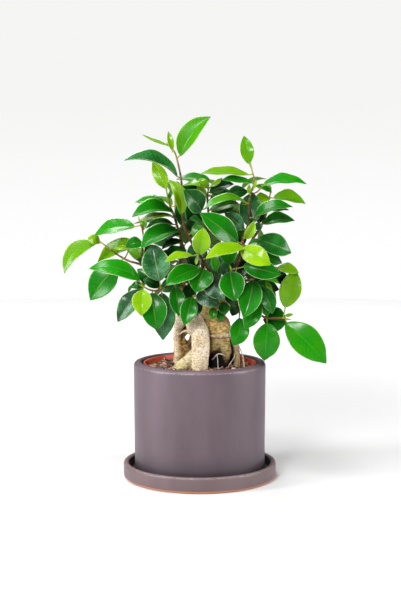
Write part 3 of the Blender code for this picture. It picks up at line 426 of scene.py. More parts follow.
def subdivided(outline, longest):
    """The same closed outline with no stretch longer than `longest`."""
    rows = []
    for start, end in zip(outline, np.roll(outline, -1, 0)):
        count = max(1, math.ceil(np.linalg.norm(end - start) / longest))
        rows.append(start + (end - start) * (np.arange(count) / count)[:, None])
    return np.vstack(rows)


def unit(vector):
    return vector / np.linalg.norm(vector, axis=-1, keepdims=True)


def spun(outline, longest):
    """A closed outline, cut finer, carried once round the axis; its last row joins its first."""
    profile = subdivided(outline, longest)
    points = turned(profile, TURNED_COLUMNS).reshape(-1, 3)
    faces = grid_faces(len(profile) + 1, TURNED_COLUMNS) % len(points)
    return points, faces[:, ::-1]


pot_outline = rounded([
    (POT_RADIUS, POT_TOP, POT_LIP * 1.25),
    (POT_BASE_RADIUS, POT_BOTTOM, POT_FOOT_EDGE * 1.2),
    (DRAIN_RADIUS, POT_BOTTOM, 0.8),
    (DRAIN_RADIUS, POT_BOTTOM + POT_FLOOR, 0.8),
    (POT_RADIUS - POT_WALL, POT_BOTTOM + POT_FLOOR, 4),
    (POT_RADIUS - POT_WALL, POT_TOP, 2.4),
])
saucer_outline = rounded([
    (SAUCER_RADIUS, SAUCER_HEIGHT, SAUCER_WALL / 2),
    (SAUCER_RADIUS, 0, SAUCER_EDGE * 1.2),
    (AXIS_GAP, 0, 0),
    (AXIS_GAP, SAUCER_FLOOR, 0),
    (SAUCER_RADIUS - SAUCER_WALL, SAUCER_FLOOR, 2),
    (SAUCER_RADIUS - SAUCER_WALL, SAUCER_HEIGHT, SAUCER_WALL / 2),
])
print("pot section:", len(pot_outline), "points; saucer section:", len(saucer_outline))

# %% [markdown]
# ## The clay's finish
# The colour is a greyed mauve.  The clay isn't glazed: its surface is dull with a faint sheen, slightly
# cloudy in upright bands, with fine grain and a few darker specks.  Round each rim runs a thin painted
# highlight, and the top above it is painted paler as if lit from above.  The pot is darkened with painted
# shade near its foot, and the saucer inside its wall; the saucer's foot shows the bare red clay.

# %% Clay finish
MAUVE = paint(74, 58, 66)
MAUVE_PALE = paint(95, 79, 88)
SAUCER_MAUVE = paint(90, 72, 74)
SAUCER_PALE = paint(112, 93, 95)
# painted highlight round each rim
RIM_HIGHLIGHT = paint(168, 156, 154)
BARE_CLAY = paint(196, 126, 92)
# painted shade at the pot's foot and inside the saucer's wall
SHADED_CLAY = paint(36, 33, 38)
CLAY_SPECK = paint(66, 55, 60)
POT_HIGHLIGHT_DROP = 3.1             # how far under the top the painted highlight runs
SAUCER_HIGHLIGHT_DROP = 0.9
INSIDE_SHADE_FADE = 0.9
FOOT_SHADE = (0.040, 0.012)      # metres: the pot has no painted shade above the first and full painted shade below the second
BARE_FOOT = (0.0034, 0.0022)    # metres: the same for the bare clay
HIGHLIGHT_FADE = (0.0008, 0.0001)    # metres from the painted highlight, and the same for where it is full
LIT_TOP_BAND = (-0.0005, 0.0008)    # metres from the highlight where the top, painted paler as if lit, begins
CLAY_GRAIN = 0.00012            # metres, the depth of the surface's relief


def clay_finish(name, colours, highlight_height, damp_and_shade):
    """Matte clay: banded tone, grain, specks, a painted highlight at the height given, the top above it
    painted paler as if lit, and bare clay at the very foot.

    The last argument is a function from the finish to the mask of its part darkened with painted shade."""
    clay = Finish(name, Roughness=0.52, Specular_IOR_Level=0.45, Coat_Weight=0.25, Coat_Roughness=0.3)
    height = clay.along(2)
    cloud = clay.noise(34, detail=3, vector=clay.stretched((1, 1, 0.3)))
    grain = clay.noise(900, detail=2, roughness=0.7)
    speck = clay.cells(420).step(0.16, 0.06) * clay.noise(60).step(0.5, 0.62)
    tone = clay.ramp(cloud * 0.7 + grain * 0.3, (0.35, colours[0]), (0.8, colours[1]))
    # Painted light: the top of each rim is painted paler as if lit from above, and a thin painted highlight
    # runs round it.
    top = height.step(highlight_height + LIT_TOP_BAND[0], highlight_height + LIT_TOP_BAND[1])
    tone = clay.blend(top * 0.45, tone, colours[1])
    highlight_line = abs(height - highlight_height).step(*HIGHLIGHT_FADE) * clay.noise(300).step(0.38, 0.66)
    tone = clay.blend(highlight_line * 0.35, tone, RIM_HIGHLIGHT)
    tone = clay.blend(speck * 0.35, tone, CLAY_SPECK)
    # painted shade at the pot's foot and inside the saucer
    tone = clay.blend(damp_and_shade(clay), tone, SHADED_CLAY)
    foot = (height + 0.0008 * clay.noise(120)).step(*BARE_FOOT)
    tone = clay.blend(foot, tone, BARE_CLAY)
    clay.feed(Base_Color=tone, Roughness=0.47 + 0.14 * cloud + 0.15 * foot)
    clay.relief(grain * 0.6 + cloud * 0.4, CLAY_GRAIN)
    return clay


def shaded_foot(clay):
    """Painted shade over the pot's lowest centimetres, fading upwards."""
    return clay.along(2).step(*FOOT_SHADE) * 0.62


def shaded_inside(clay):
    """Painted shade over the saucer's floor and the inside of its wall."""
    inner = SAUCER_RADIUS - SAUCER_WALL
    return clay.radius().step((inner + INSIDE_SHADE_FADE) * MM, inner * MM) * 0.85


pot_clay = clay_finish("pot clay", (MAUVE, MAUVE_PALE), (POT_TOP - POT_HIGHLIGHT_DROP) * MM, shaded_foot)
saucer_clay = clay_finish("saucer clay", (SAUCER_MAUVE, SAUCER_PALE), (SAUCER_HEIGHT - SAUCER_HIGHLIGHT_DROP) * MM,
                          shaded_inside)
pot_mesh = make_mesh("clay_pot", *spun(pot_outline, CLAY_STRETCH))
saucer_mesh = make_mesh("clay_saucer", *spun(saucer_outline, CLAY_STRETCH))
show("clay_pot", pot_mesh, pot_clay, "pot", slot="clay")
show("clay_saucer", saucer_mesh, saucer_clay, "saucer", slot="clay")

# %% [markdown]
# ## The nursery pot
# Only its rim shows, just under the clay pot's, in a warm brick red.  It is thin plastic, pressed over at
# the top, so it is a little glossier than clay.  It is dusty where soil has dried on it, and painted black
# along its outer edge as shade in the gap against the clay pot.

# %% Nursery pot
LINER_TOP = 122.8
LINER_BOTTOM = 14.6
LINER_RADIUS = 60.6
LINER_SHOULDER = 57.6
LINER_BASE_RADIUS = 44.0
LINER_WALL = 1.3
LINER_RIM_DROP = 9.0
LINER_RIM_TAPER = 0.4
LINER_RIM_WIDTH = 2.6
LINER_STRETCH = 8               # longest step along its section
GAP_SHADE_EDGE = (1.7, 1.2)         # how far inside the outer edge the painted shade fades out, and where it is full

under_rim = LINER_TOP - LINER_RIM_DROP
liner_outline = rounded([
    (LINER_RADIUS, LINER_TOP, 0.7),
    (LINER_RADIUS - LINER_RIM_TAPER, under_rim, 0.3),
    (LINER_SHOULDER, under_rim, 0.2),
    (LINER_BASE_RADIUS, LINER_BOTTOM, 1.2),
    (DRAIN_RADIUS, LINER_BOTTOM, 0.3),
    (DRAIN_RADIUS, LINER_BOTTOM + LINER_WALL, 0.3),
    (LINER_BASE_RADIUS - LINER_WALL, LINER_BOTTOM + LINER_WALL, 0.8),
    (LINER_SHOULDER - LINER_WALL, under_rim, 0.2),
    (LINER_RADIUS - LINER_RIM_WIDTH, LINER_TOP, 0.7),
], steps=4)
brick = Finish("nursery pot plastic", Roughness=0.42, Specular_IOR_Level=0.5)
dust = brick.noise(220, detail=5).step(0.48, 0.66)
brick_tone = brick.blend(dust * 0.45, paint(214, 84, 58), paint(150, 104, 82))
# Painted shade: the outer edge is painted black, as shade in the gap against the clay pot.
ragged_radius = brick.radius() - 0.0008 * brick.noise(180)
gap_shade = ragged_radius.step(*((LINER_RADIUS - inset) * MM for inset in GAP_SHADE_EDGE))
brick_tone = brick.blend(gap_shade * 0.92, brick_tone, paint(18, 20, 18))
brick.feed(Base_Color=brick_tone, Roughness=0.36 + 0.4 * dust)
brick.relief(brick.noise(1500), 0.00005)
liner_mesh = make_mesh("liner_pot", *spun(liner_outline, LINER_STRETCH))
show("liner_pot", liner_mesh, brick, "nursery_pot", slot="terracotta_plastic")

# %% [markdown]
# ## Potting mix
# The mix is bark chips and peat.  Its surface is a disc whose height follows the same crossed waves as the
# solid, with finer clods on top.  Loose chips are scattered on it: each is a small wedge with eight
# displaced corners, so a thousand of them stay cheap, and the draw of their places is seeded.

# %% Soil surface
SOIL_LEVEL = 118.0
SOIL_RELIEF = 1.7
SOIL_FIT = 0.3                  # between the mix and the wall round it
SOIL_EDGE = LINER_SHOULDER - LINER_WALL - SOIL_FIT
SOIL_INSET = 1.6                # between its lower corner and the outside of the nursery pot
SOIL_SHOULDER_DROP = 4
SOIL_RINGS = 90
SOIL_COLUMNS = 300
CLOD_HEIGHT = 0.7


def lumps(x, y):
    """Height of the solid's lumps at a place: crossed waves of unlike lengths, faded at the edge."""
    coarse = np.sin(0.27 * x + 1.1) * np.sin(0.31 * y - 0.4)
    fine = np.sin(0.71 * x + 0.43 * y) * np.cos(0.58 * y - 0.37 * x)
    fade = 1 - np.minimum(np.hypot(x, y) / SOIL_EDGE, 1) ** 4
    return SOIL_RELIEF * (0.6 * coarse + 0.4 * fine) * fade


def clods(x, y):
    """Finer bumps from about -1 to 1, as a sum of five waves.

    Each wave runs in a direction of its own, 1.7 times as close as the last and 0.72 times as high, and its
    phase is bent by a wave that runs across it, so that no straight ridges show."""
    total = 0.0
    weight = 0.5
    pitch = 0.9
    for turn in range(5):
        heading = 1.3 * turn
        ahead = x * math.cos(heading) + y * math.sin(heading)
        sideways = y * math.cos(heading) - x * math.sin(heading)
        total = total + weight * np.sin(pitch * ahead + turn + 1.7 * np.sin(pitch * 0.6 * sideways))
        weight *= 0.72
        pitch *= 1.7
    return total / 1.6


def soil_points():
    """A disc of rings round the axis, closed by a wall down to the mix's depth and a flat floor."""
    radii = SOIL_EDGE * np.linspace(0.02, 1, SOIL_RINGS)
    top = turned(np.column_stack((radii, np.zeros(SOIL_RINGS))), SOIL_COLUMNS)
    x, y = top[..., 0], top[..., 1]
    top[..., 2] = SOIL_LEVEL + lumps(x, y) + CLOD_HEIGHT * clods(x, y)
    floor_height = LINER_BOTTOM + SOIL_INSET
    shoulder = (SOIL_EDGE, under_rim - SOIL_SHOULDER_DROP)
    side = turned([shoulder, (LINER_BASE_RADIUS - SOIL_INSET, floor_height)], SOIL_COLUMNS)
    rows = np.concatenate((top, side))
    count = len(rows) * SOIL_COLUMNS
    poles = np.array([(0, 0, SOIL_LEVEL + lumps(0.0, 0.0)), (0, 0, floor_height)])
    faces = grid_faces(len(rows), SOIL_COLUMNS)[:, ::-1].tolist()
    faces += fan_faces(np.arange(SOIL_COLUMNS), count).tolist()
    faces += fan_faces(np.arange(count - SOIL_COLUMNS, count), count + 1, outward=False).tolist()
    return np.vstack((rows.reshape(-1, 3), poles)), faces


soil = Finish("potting mix", Roughness=0.95, Specular_IOR_Level=0.2)
crumbs = soil.cells(700)
peat = soil.ramp(soil.noise(380, detail=6, roughness=0.7) * 0.7 + crumbs * 0.5,
                 (0.3, paint(38, 26, 20)), (0.5, paint(78, 54, 40)), (0.68, paint(126, 92, 70)),
                 (0.85, paint(176, 146, 122)))
soil.feed(Base_Color=peat)
soil.relief(crumbs, 0.0008)
show("soil_top", make_mesh("soil_top", *soil_points()), soil, "soil", slot="potting_mix")

# %% Bark chips
CHIPS = 1500
CHIP_SEED = 11
CHIP_MARGIN = 2.5               # how far from the mix's edge they stay
CHIP_SHORTEST = 1.0             # half its length
CHIP_SPREAD = 2.6               # how much longer the longest one's half is
CHIP_SKEW = 2.2                 # the higher, the more of the chips are short ones
CHIP_WEAR = 0.45                # how far a corner can be pushed in
CHIP_TIP = 1.1                  # spread of the slopes at which they lie
CHIP_CORNERS = np.array([(x, y, z) for z in (-1, 1) for y in (-1, 1) for x in (-1, 1)], float)
CHIP_FACES = np.array([(0, 2, 3, 1), (4, 5, 7, 6), (0, 1, 5, 4), (2, 6, 7, 3), (0, 4, 6, 2), (1, 3, 7, 5)])


def chip_points(rng):
    """Points of all the chips: wedges of 1 to 7 mm with pushed corners, turned and tipped on the mix."""
    reach = (SOIL_EDGE - CHIP_MARGIN) * np.sqrt(rng.random(CHIPS))
    turn = rng.random(CHIPS) * 2 * np.pi
    x = reach * np.cos(turn)
    y = reach * np.sin(turn)
    length = CHIP_SHORTEST + CHIP_SPREAD * rng.random(CHIPS) ** CHIP_SKEW
    breadth = length * (0.35 + 0.4 * rng.random(CHIPS))
    thickness = 0.35 + 0.35 * length * rng.random(CHIPS)
    size = np.stack((length, breadth, thickness), 1)
    corners = CHIP_CORNERS * size[:, None] * (1 - CHIP_WEAR * rng.random((CHIPS, 8, 3)))
    spin = rng.random(CHIPS) * 2 * np.pi
    tip = (rng.random((2, CHIPS)) - 0.5) * CHIP_TIP
    flat_x = corners[..., 0] * np.cos(spin)[:, None] - corners[..., 1] * np.sin(spin)[:, None]
    flat_y = corners[..., 0] * np.sin(spin)[:, None] + corners[..., 1] * np.cos(spin)[:, None]
    raised = corners[..., 2] + flat_x * tip[0][:, None] + flat_y * tip[1][:, None]
    level = SOIL_LEVEL + lumps(x, y) + CLOD_HEIGHT * clods(x, y) + 0.35 * thickness
    points = np.stack((flat_x + x[:, None], flat_y + y[:, None], raised + level[:, None]), axis=-1)
    return points, rng.random(CHIPS)


chips, chip_shade = chip_points(np.random.default_rng(CHIP_SEED))
chip_faces = (CHIP_FACES[None] + 8 * np.arange(CHIPS)[:, None, None]).reshape(-1, 4)
chip_mesh = make_mesh("bark_chips", chips.reshape(-1, 3), chip_faces, shade=np.repeat(chip_shade, 8))
chip_mesh.shade_flat()
chip_bark = Finish("bark chips", Roughness=0.85, Specular_IOR_Level=0.3)
chip_tone = chip_bark.ramp(chip_bark.attribute("shade"),
                           (0.0, paint(48, 32, 26)), (0.3, paint(92, 58, 44)), (0.55, paint(136, 96, 74)),
                           (0.8, paint(186, 150, 130)), (1.0, paint(222, 198, 182)))
chip_grain = chip_bark.noise(1400, detail=3, vector=chip_bark.stretched((1, 1, 3)))
chip_bark.feed(Base_Color=chip_bark.blend(chip_grain.step(0.45, 0.7) * 0.5, chip_tone, paint(60, 42, 34)))
chip_bark.relief(chip_grain, 0.0003)
show("bark_chips", chip_mesh, chip_bark, slot="potting_mix")

# %% [markdown]
# ## How the plant's places are written
# Roots, stems and leaves are listed as a viewer in front reads them: across, height, and a depth behind the
# plant's axis.  A place slides along the line of sight to its depth, so the front view holds whatever depth
# is chosen, and the depths can be chosen for how the plant looks from the side.

# %% Places and paths
END_BULGE = 0.4                 # how far a section's end stands out, in its radius


def seen(place):
    """A place read from the front as (across, height, depth), slid along the line of sight to its depth."""
    across, height, depth = place[:3]
    reach = 1 + depth / EYE_DISTANCE
    return np.array((across * reach, depth, EYE_HEIGHT + (height - EYE_HEIGHT) * reach))


def route(places):
    """Points (x, y, z, radius) of a stem written as (across, height, depth, radius)."""
    return np.array([(*seen(place), place[3]) for place in places])


def smooth(points, per_span):
    """A curve through all the points, with each span cut in equal steps: Catmull-Rom, ends mirrored."""
    points = np.asarray(points, float)
    ends = np.vstack((2 * points[0] - points[1], points, 2 * points[-1] - points[-2]))
    ends[[0, -1], 3:] = points[[0, -1], 3:]
    before, start, end, after = ends[:-3], ends[1:-2], ends[2:-1], ends[3:]
    pieces = [points[:1]]
    for step in range(1, per_span + 1):
        t = step / per_span
        mixed = (2 * start + (end - before) * t + (2 * before - 5 * start + 4 * end - after) * t**2
                 + (3 * start - before - 3 * end + after) * t**3) / 2
        pieces.append(mixed)
    body = np.stack(pieces[1:], axis=1).reshape(-1, points.shape[1])
    return np.vstack((points[:1], body))


def carried(path, sides):
    """A round section carried along a path of (x, y, z, radius) rows, closed by a point at each end.

    At each row a circle stands across the path's direction; its two axes come from one fixed reference
    direction, so the columns don't twist."""
    places, radius = path[:, :3], path[:, 3]
    heading = unit(np.gradient(places, axis=0))
    reference = np.eye(3)[np.argmin(np.abs(heading).max(axis=0))]
    first = unit(np.cross(reference, heading))
    second = np.cross(heading, first)
    angle = np.linspace(0, 2 * np.pi, sides, endpoint=False)[:, None]
    ring = first[:, None] * np.cos(angle) + second[:, None] * np.sin(angle)
    points = places[:, None] + ring * radius[:, None, None]
    count = points.shape[0] * sides
    poles = places[[0, -1]] + heading[[0, -1]] * radius[[0, -1], None] * np.array([[-END_BULGE], [END_BULGE]])
    faces = grid_faces(len(path), sides).tolist()
    faces += fan_faces(np.arange(sides), count, outward=False).tolist()
    faces += fan_faces(np.arange(count - sides, count), count + 1).tolist()
    return np.vstack((points.reshape(-1, 3), poles)), faces


print("a place 50 mm behind the axis moves from 100 mm across to", round(float(seen((100, 200, 50))[0]), 1))

# %% [markdown]
# ## The trunk
# What looks like a trunk is a bunch of swollen roots lifted out of the soil and grown together.  Each root
# is a tapering tube along a few listed points.  A real one has no seams where roots meet, so the tubes
# are melted into one skin with a voxel remesh, relaxed a little, and then wrinkled along the skin's normals
# by a noise that is worked out for all points at once.

# %% Roots and grafts
ROOTS = {
    "crown": [(9, 182, 4, 5), (8, 178, 4, 13), (7, 169, 5, 17), (6, 159, 6, 15), (5, 149, 6, 9)],
    "front": [(-11, 174, -4, 8), (-8, 169, -9, 9.5), (-4.8, 163.5, -14, 9.8), (-0.9, 156.5, -18, 9.8),
              (1, 149, -21, 9.6), (1, 137, -22.5, 9.5), (0.3, 122, -23, 8.9), (0, 111, -22, 8.4),
              (0.5, 95, -20, 6)],
    "left": [(-12, 176, -1, 7), (-18, 169, -3, 7.5), (-22.5, 160, -5, 5.4), (-23.5, 149, -6, 4.5),
             (-22.5, 136, -6, 4.7), (-21.5, 122, -5, 4.6), (-21, 111, -4, 4.4), (-20, 95, -3, 3.4)],
    "inner_left": [(-12, 162, 5, 6), (-20.5, 150, 2, 4.2), (-18, 141, 0, 6.3), (-17.5, 132, 0, 7),
                   (-19, 121, 0, 5.6), (-19.5, 111, 1, 4.8), (-19.5, 96, 1, 3.6)],
    "inner_strand": [(-7, 157, 3, 3), (-9.4, 149, 2, 2.1), (-10, 141, 1, 4), (-12, 132, -2, 5),
                     (-16, 122, -3, 4)],
    "crossing": [(1, 138, -10, 6), (-3.5, 132.4, -14, 6.8), (-7.8, 128, -17, 7.2), (-14.7, 120.4, -19, 7.6),
                 (-22.9, 112.5, -20.5, 7.3), (-31, 99, -21, 5)],
    "body": [(14, 178, 2, 9.5), (17.5, 169, -2, 11), (20.5, 159, -4, 12), (18, 147.8, -5, 10),
             (14.2, 140.2, -5, 6.8), (11, 132.6, -4, 4), (9, 121, 2, 4.6), (7, 111, 3, 4.6), (7, 95, 5, 3.6)],
    "knob": [(23, 149, -5, 7.5), (27, 141.5, -8, 6.2), (28.4, 134.5, -9, 5.4), (28.4, 129, -9, 4.2)],
    "knob_foot": [(28.4, 130, -8.5, 4), (27, 123.5, -7, 4.6), (25.5, 116.5, -5, 4.6), (25, 107, -5, 3.8),
                  (25, 97, -4, 2.6)],
    "right": [(23, 165, 2, 8), (31, 154.5, 2, 5.2), (36, 146, 1, 4), (38.8, 137.5, -1, 3.1),
              (39.6, 127, -2, 3.4), (39.4, 111, -3, 3.4), (39.6, 96, -3, 2.6)],
    "back_left": [(-5, 171, 9, 10), (-15, 166, 14, 8), (-21.5, 156, 17, 5.6), (-22, 144, 18, 5.4),
                  (-22, 130, 20, 5.8), (-23, 111, 22, 5.4), (-24, 95, 23, 4)],
    "back": [(8, 170, 12, 12), (9, 152, 20, 10), (8, 132, 25, 9), (6, 111, 28, 8), (5, 95, 28, 5)],
    "back_right": [(22, 164, 9, 9), (29, 148, 14, 7), (33, 131, 17, 6), (35, 111, 19, 5), (36, 95, 20, 3.6)],
    "rootlet_right": [(38.5, 146, -3, 1.4), (42.5, 133, -6, 0.9), (46.5, 121.5, -6, 0.9),
                      (47.5, 101, -6, 0.9)],
    "girdle": [(-28, 148, -7, 1.2), (-24.5, 150.5, -11, 1.3), (-20, 153.6, -12, 1.3), (-16, 156, -12.5, 1.3),
               (-13, 155.6, -12.5, 1.3), (-10, 152.5, -12, 1.5), (0, 150.5, -9, 1.6), (11, 150.5, -15, 1.8),
               (20, 150.5, -17, 1.8), (27, 151, -14.5, 1.7), (32, 152, -6, 1.4), (33, 153, 3, 1.2)],
    # a root in the hollow under the body, painted black as shade
    "blackened": [(21, 142, 2, 5), (20, 135, -1, 8), (19, 127, -3, 11), (19, 114, -3, 12), (19, 99, -1, 9)],
}
GRAFTS = {
    "left": [(-4, 170, -2, 8), (-9, 187, -3, 5.0), (-15, 199, -4, 4.5), (-20, 209, -4, 3.8)],
    "middle": [(6, 172, -5, 8), (9, 188, -8, 5.2), (12.5, 201, -12, 4.1), (14, 209, -14.5, 3.2)],
    "right": [(17, 170, -2, 9), (24, 186, -4, 5.4), (29.5, 202, -8, 4.4), (34, 215, -12, 3.4)],
    "back": [(4, 170, 8, 9), (5, 190, 15, 5.6), (4, 206, 20, 4.6), (4, 214, 23, 3.4)],
}

print(len(ROOTS), "roots and", len(GRAFTS), "grafted stems")

# %% One skin
TRUNK_VOXEL = 0.0009            # metres
RELAX_ROUNDS = 5
CREASE_ROUNDS = 14
NOISE_SEED = 5
OPEN_RAYS = 22
OPEN_REACH = 26.0               # millimetres
OPEN_LIFT = 0.4                 # how far above the surface the rays start
OPEN_SLANT = 0.15               # rays flatter than this to the surface aren't used
TINT_BLEND = 0.7                # millimetres over which one root's tint passes into the next
LATTICE = 32                    # numbers along each side of the noise's lattice
ROOT_SIDES = 28
ROOT_STEPS = 8                  # steps in which each span of a root is followed
SWELL_PITCH = 8.0
RING_PITCH = 3.4
RING_STRETCH = (0.45, 0.45, 1.6)  # a root's rings are flat and close together
RING_HEIGHT = 0.45
PIT_PITCH = 2.6
PIT_DEPTH = 1.3
PIT_SHARE = 0.16                # the higher, the fewer the pits
NOISE_LATTICE = np.random.default_rng(NOISE_SEED).random((LATTICE, LATTICE, LATTICE))


def value_noise(points, pitch):
    """Smooth noise from 0 to 1: seeded numbers on a lattice of `pitch` mm, eased between its corners."""
    cell = points / pitch
    low = np.floor(cell).astype(int)
    ease = cell - low
    ease = ease * ease * (3 - 2 * ease)
    total = np.zeros(len(points))
    for corner in np.ndindex(2, 2, 2):
        weight = np.prod(np.where(corner, ease, 1 - ease), axis=1)
        x, y, z = ((low + corner) % LATTICE).T
        total += weight * NOISE_LATTICE[x, y, z]
    return total


def layered_noise(points, pitch, layers=3):
    """Value noise at a pitch and its halves, each half as strong, centred on 0."""
    return sum((value_noise(points + 17.3 * i, pitch / 2**i) - 0.5) / 2**i for i in range(layers))


def relaxed(points, edges, rounds, share=0.5):
    """Every point moved `share` of the way to the mean of its neighbours, `rounds` times."""
    count = np.bincount(edges.ravel(), minlength=len(points))[:, None]
    for _ in range(rounds):
        total = np.zeros_like(points)
        np.add.at(total, edges[:, 0], points[edges[:, 1]])
        np.add.at(total, edges[:, 1], points[edges[:, 0]])
        points = points + share * (total / count - points)
    return points


def vertex_array(mesh, field):
    """Three numbers of each of the mesh's points, such as its place, as an array."""
    values = np.empty(len(mesh.vertices) * 3)
    mesh.vertices.foreach_get(field, values)
    return values.reshape(-1, 3)


def melted(name, tubes, voxel):
    """One closed skin round all the tubes, which are put in one mesh and remeshed by voxels."""
    rough = bpy.data.objects.new(name, make_mesh(name, *joined(tubes)))
    bpy.context.scene.collection.objects.link(rough)
    skin = rough.modifiers.new("melt", "REMESH")
    skin.mode = "VOXEL"
    skin.voxel_size = voxel
    mesh = bpy.data.meshes.new_from_object(rough.evaluated_get(bpy.context.evaluated_depsgraph_get()))
    bpy.data.objects.remove(rough)
    return mesh


def openness(tree, points, normals, reach, lift=OPEN_LIFT):
    """For each point, the share of rays of length `reach` on its outer side that meet nothing."""
    turn = np.arange(OPEN_RAYS) * np.pi * (3 - math.sqrt(5))
    rise = 1 - 2 * (np.arange(OPEN_RAYS) + 0.5) / OPEN_RAYS
    ring = np.sqrt(1 - rise**2)
    rays = np.stack((ring * np.cos(turn), ring * np.sin(turn), rise), axis=1)
    facing = normals @ rays.T > OPEN_SLANT
    starts = (points + normals * lift).tolist()
    directions = rays.tolist()
    share = np.empty(len(points))
    for row, (start, used) in enumerate(zip(starts, facing)):
        chosen = np.flatnonzero(used)
        free = sum(tree.ray_cast(start, directions[i], reach)[0] is None for i in chosen)
        share[row] = free / max(len(chosen), 1)
    return share


def tints(points, tinted_paths):
    """Each point's bark tint, mixed from the paths whose skin runs nearest to it."""
    nearness = []
    for path, _ in tinted_paths:
        rows = smooth(path, 3) if len(path) > 3 else path
        apart = np.linalg.norm(points[:, None] - rows[None, :, :3], axis=2) - rows[:, 3]
        nearness.append(np.exp(-np.maximum(apart.min(axis=1), -3) / TINT_BLEND))
    weight = np.array(nearness)
    weight /= weight.sum(axis=0)
    return weight.T @ np.array([tint for _, tint in tinted_paths], float)


def wrinkled_trunk(tinted_paths, tint_only):
    """The melted roots, relaxed, wrinkled by up to a millimetre, with their tints, creases and openness.

    The paths in `tint_only` give no wood, only their tint to the skin near them.  A point's crease is how far
    its relaxed place lies outside the skin: positive in the grooves between roots and negative on ridges."""
    tubes = [carried(smooth(path, ROOT_STEPS) if len(path) > 3 else path, ROOT_SIDES)
             for path, _ in tinted_paths]
    mesh = melted("roots", tubes, TRUNK_VOXEL)
    edges = np.empty(len(mesh.edges) * 2, dtype=np.int64)
    mesh.edges.foreach_get("vertices", edges)
    edges = edges.reshape(-1, 2)
    points = relaxed(vertex_array(mesh, "co") / MM, edges, RELAX_ROUNDS)
    mesh.vertices.foreach_set("co", (points * MM).ravel())
    mesh.update()
    normals = vertex_array(mesh, "normal")
    crease = np.einsum("ij,ij->i", relaxed(points, edges, CREASE_ROUNDS) - points, normals)
    tint = tints(points, tinted_paths + tint_only)
    knobbly = tint[:, 2]
    swell = (0.9 + 0.9 * knobbly) * layered_noise(points, SWELL_PITCH, 2)
    rings = RING_HEIGHT * layered_noise(points * RING_STRETCH, RING_PITCH)
    pits = -PIT_DEPTH * np.clip(layered_noise(points, PIT_PITCH, 2) - PIT_SHARE, 0, 1)
    points = points + normals * (swell + rings + pits)[:, None]
    mesh.vertices.foreach_set("co", (points * MM).ravel())
    tree = BVHTree.FromPolygons(points.tolist(), [tuple(face.vertices) for face in mesh.polygons])
    for key, values in zip(("pale", "green", "golden", "black"), tint.T):
        add_number(mesh, key, values)
    add_number(mesh, "crease", crease)
    add_number(mesh, "open", openness(tree, points, normals, OPEN_REACH))
    mesh.shade_smooth()
    mesh.update()
    return mesh


print("noise at the axis:", value_noise(np.zeros((1, 3)), SWELL_PITCH).round(3))

# %% [markdown]
# ## Bark
# The roots were buried when the plant was young and have been washed and bared since, so each has its own
# bark: the one in front is the palest, the one that crosses it is greenish, the knobbly part on the right
# golden brown.  What lies deep between them is painted black as shade.  Four numbers per root say so, and
# they are blended on the skin.  Grooves and hollows are darkened with painted shade as well.

# %% Bark tints
ROOT_TINTS = {                  # how pale, green and golden, and how far painted black as shade, from 0 to 1
    "crown": (0.5, 0.15, 0.9, 0),
    "front": (1, 0, 0, 0),
    "left": (0.95, 0, 0.1, 0),
    "inner_left": (0.4, 0, 0.8, 0),
    "inner_strand": (0.1, 0, 0.1, 0.2),
    "crossing": (0.8, 0.45, 0, 0),
    "body": (0.45, 0.15, 0.9, 0),
    "knob": (0.5, 0.4, 0.6, 0),
    "knob_foot": (0.4, 0.1, 0, 0.72),
    "right": (0.5, 0.15, 0.25, 0),
    "back_left": (0.5, 0.1, 0.2, 0),
    "back": (0.4, 0.2, 0.3, 0.1),
    "back_right": (0.4, 0.2, 0.3, 0.1),
    "rootlet_right": (0.7, 0, 0, 0),
    "girdle": (1, 0, 0.2, 0),
    "blackened": (0, 0, 0, 1),
}
WOOD_TINT = (0.15, 0.55, 0.35, 0)
# Stretches of the skin with a colour of their own: the cleft between the knob and the right root, painted
# black as shade (two), the golden brown inner side of the left root, and the mossy skin under the girdle
# root.
TINT_PATHS = [
    ([(35, 144, -5, 1.0), (34.5, 138, -6, 1.9), (33.6, 131, -7, 2.4), (32, 124, -8, 3.0),
      (30.5, 115, -8, 3.8)],
     (0, 0, 0, 1)),
    ([(34, 144, 6, 5), (34, 136, 7, 6), (33, 127, 8, 7), (32, 114, 8, 7)], (0, 0, 0, 1)),
    ([(-20.5, 155, -5, 3.2), (-20, 146, -6, 4), (-20, 136, -6, 4.6), (-20, 124, -5, 5), (-20, 112, -5, 5)],
     (0.15, 0, 0.9, 0.05)),
    ([(12, 145, -9, 6), (19, 142.5, -10, 7), (26, 138, -11, 5)], (0.4, 1, 0.15, 0)),
]
print(len(ROOT_TINTS), "tints for", len(ROOTS), "roots, and", len(TINT_PATHS), "stretches of their own")

# %% Bark finish
bark = Finish("bark", Roughness=0.7, Specular_IOR_Level=0.15)
height = bark.along(2)
patch = bark.noise(70, detail=4)
streak = bark.noise(240, detail=4, roughness=0.65, vector=bark.stretched((1, 1, 2.6)))
speck = bark.noise(560, detail=2, roughness=0.6, vector=bark.stretched((1, 1, 1.7))).step(0.57, 0.66)
grime = bark.noise(170, detail=5, roughness=0.7).step(0.5, 0.68)
mottle = streak * 0.65 + patch * 0.35
cream = bark.ramp(mottle, (0.34, paint(166, 138, 104)), (0.44, paint(204, 184, 150)),
                  (0.55, paint(226, 212, 190)), (0.72, paint(240, 230, 214)))
brown = bark.ramp(mottle, (0.34, paint(84, 56, 34)), (0.46, paint(132, 94, 58)), (0.6, paint(172, 134, 88)))
olive = bark.ramp(mottle, (0.38, paint(80, 84, 28)), (0.48, paint(150, 154, 68)), (0.6, paint(204, 202, 120)))
gold = bark.ramp(mottle, (0.38, paint(96, 62, 20)), (0.46, paint(176, 136, 62)), (0.55, paint(222, 190, 112)),
                 (0.66, paint(244, 224, 172)))
skin_tone = bark.blend(bark.attribute("pale"), brown, cream)
burnt = bark.noise(110, detail=3, roughness=0.6).step(0.47, 0.58)
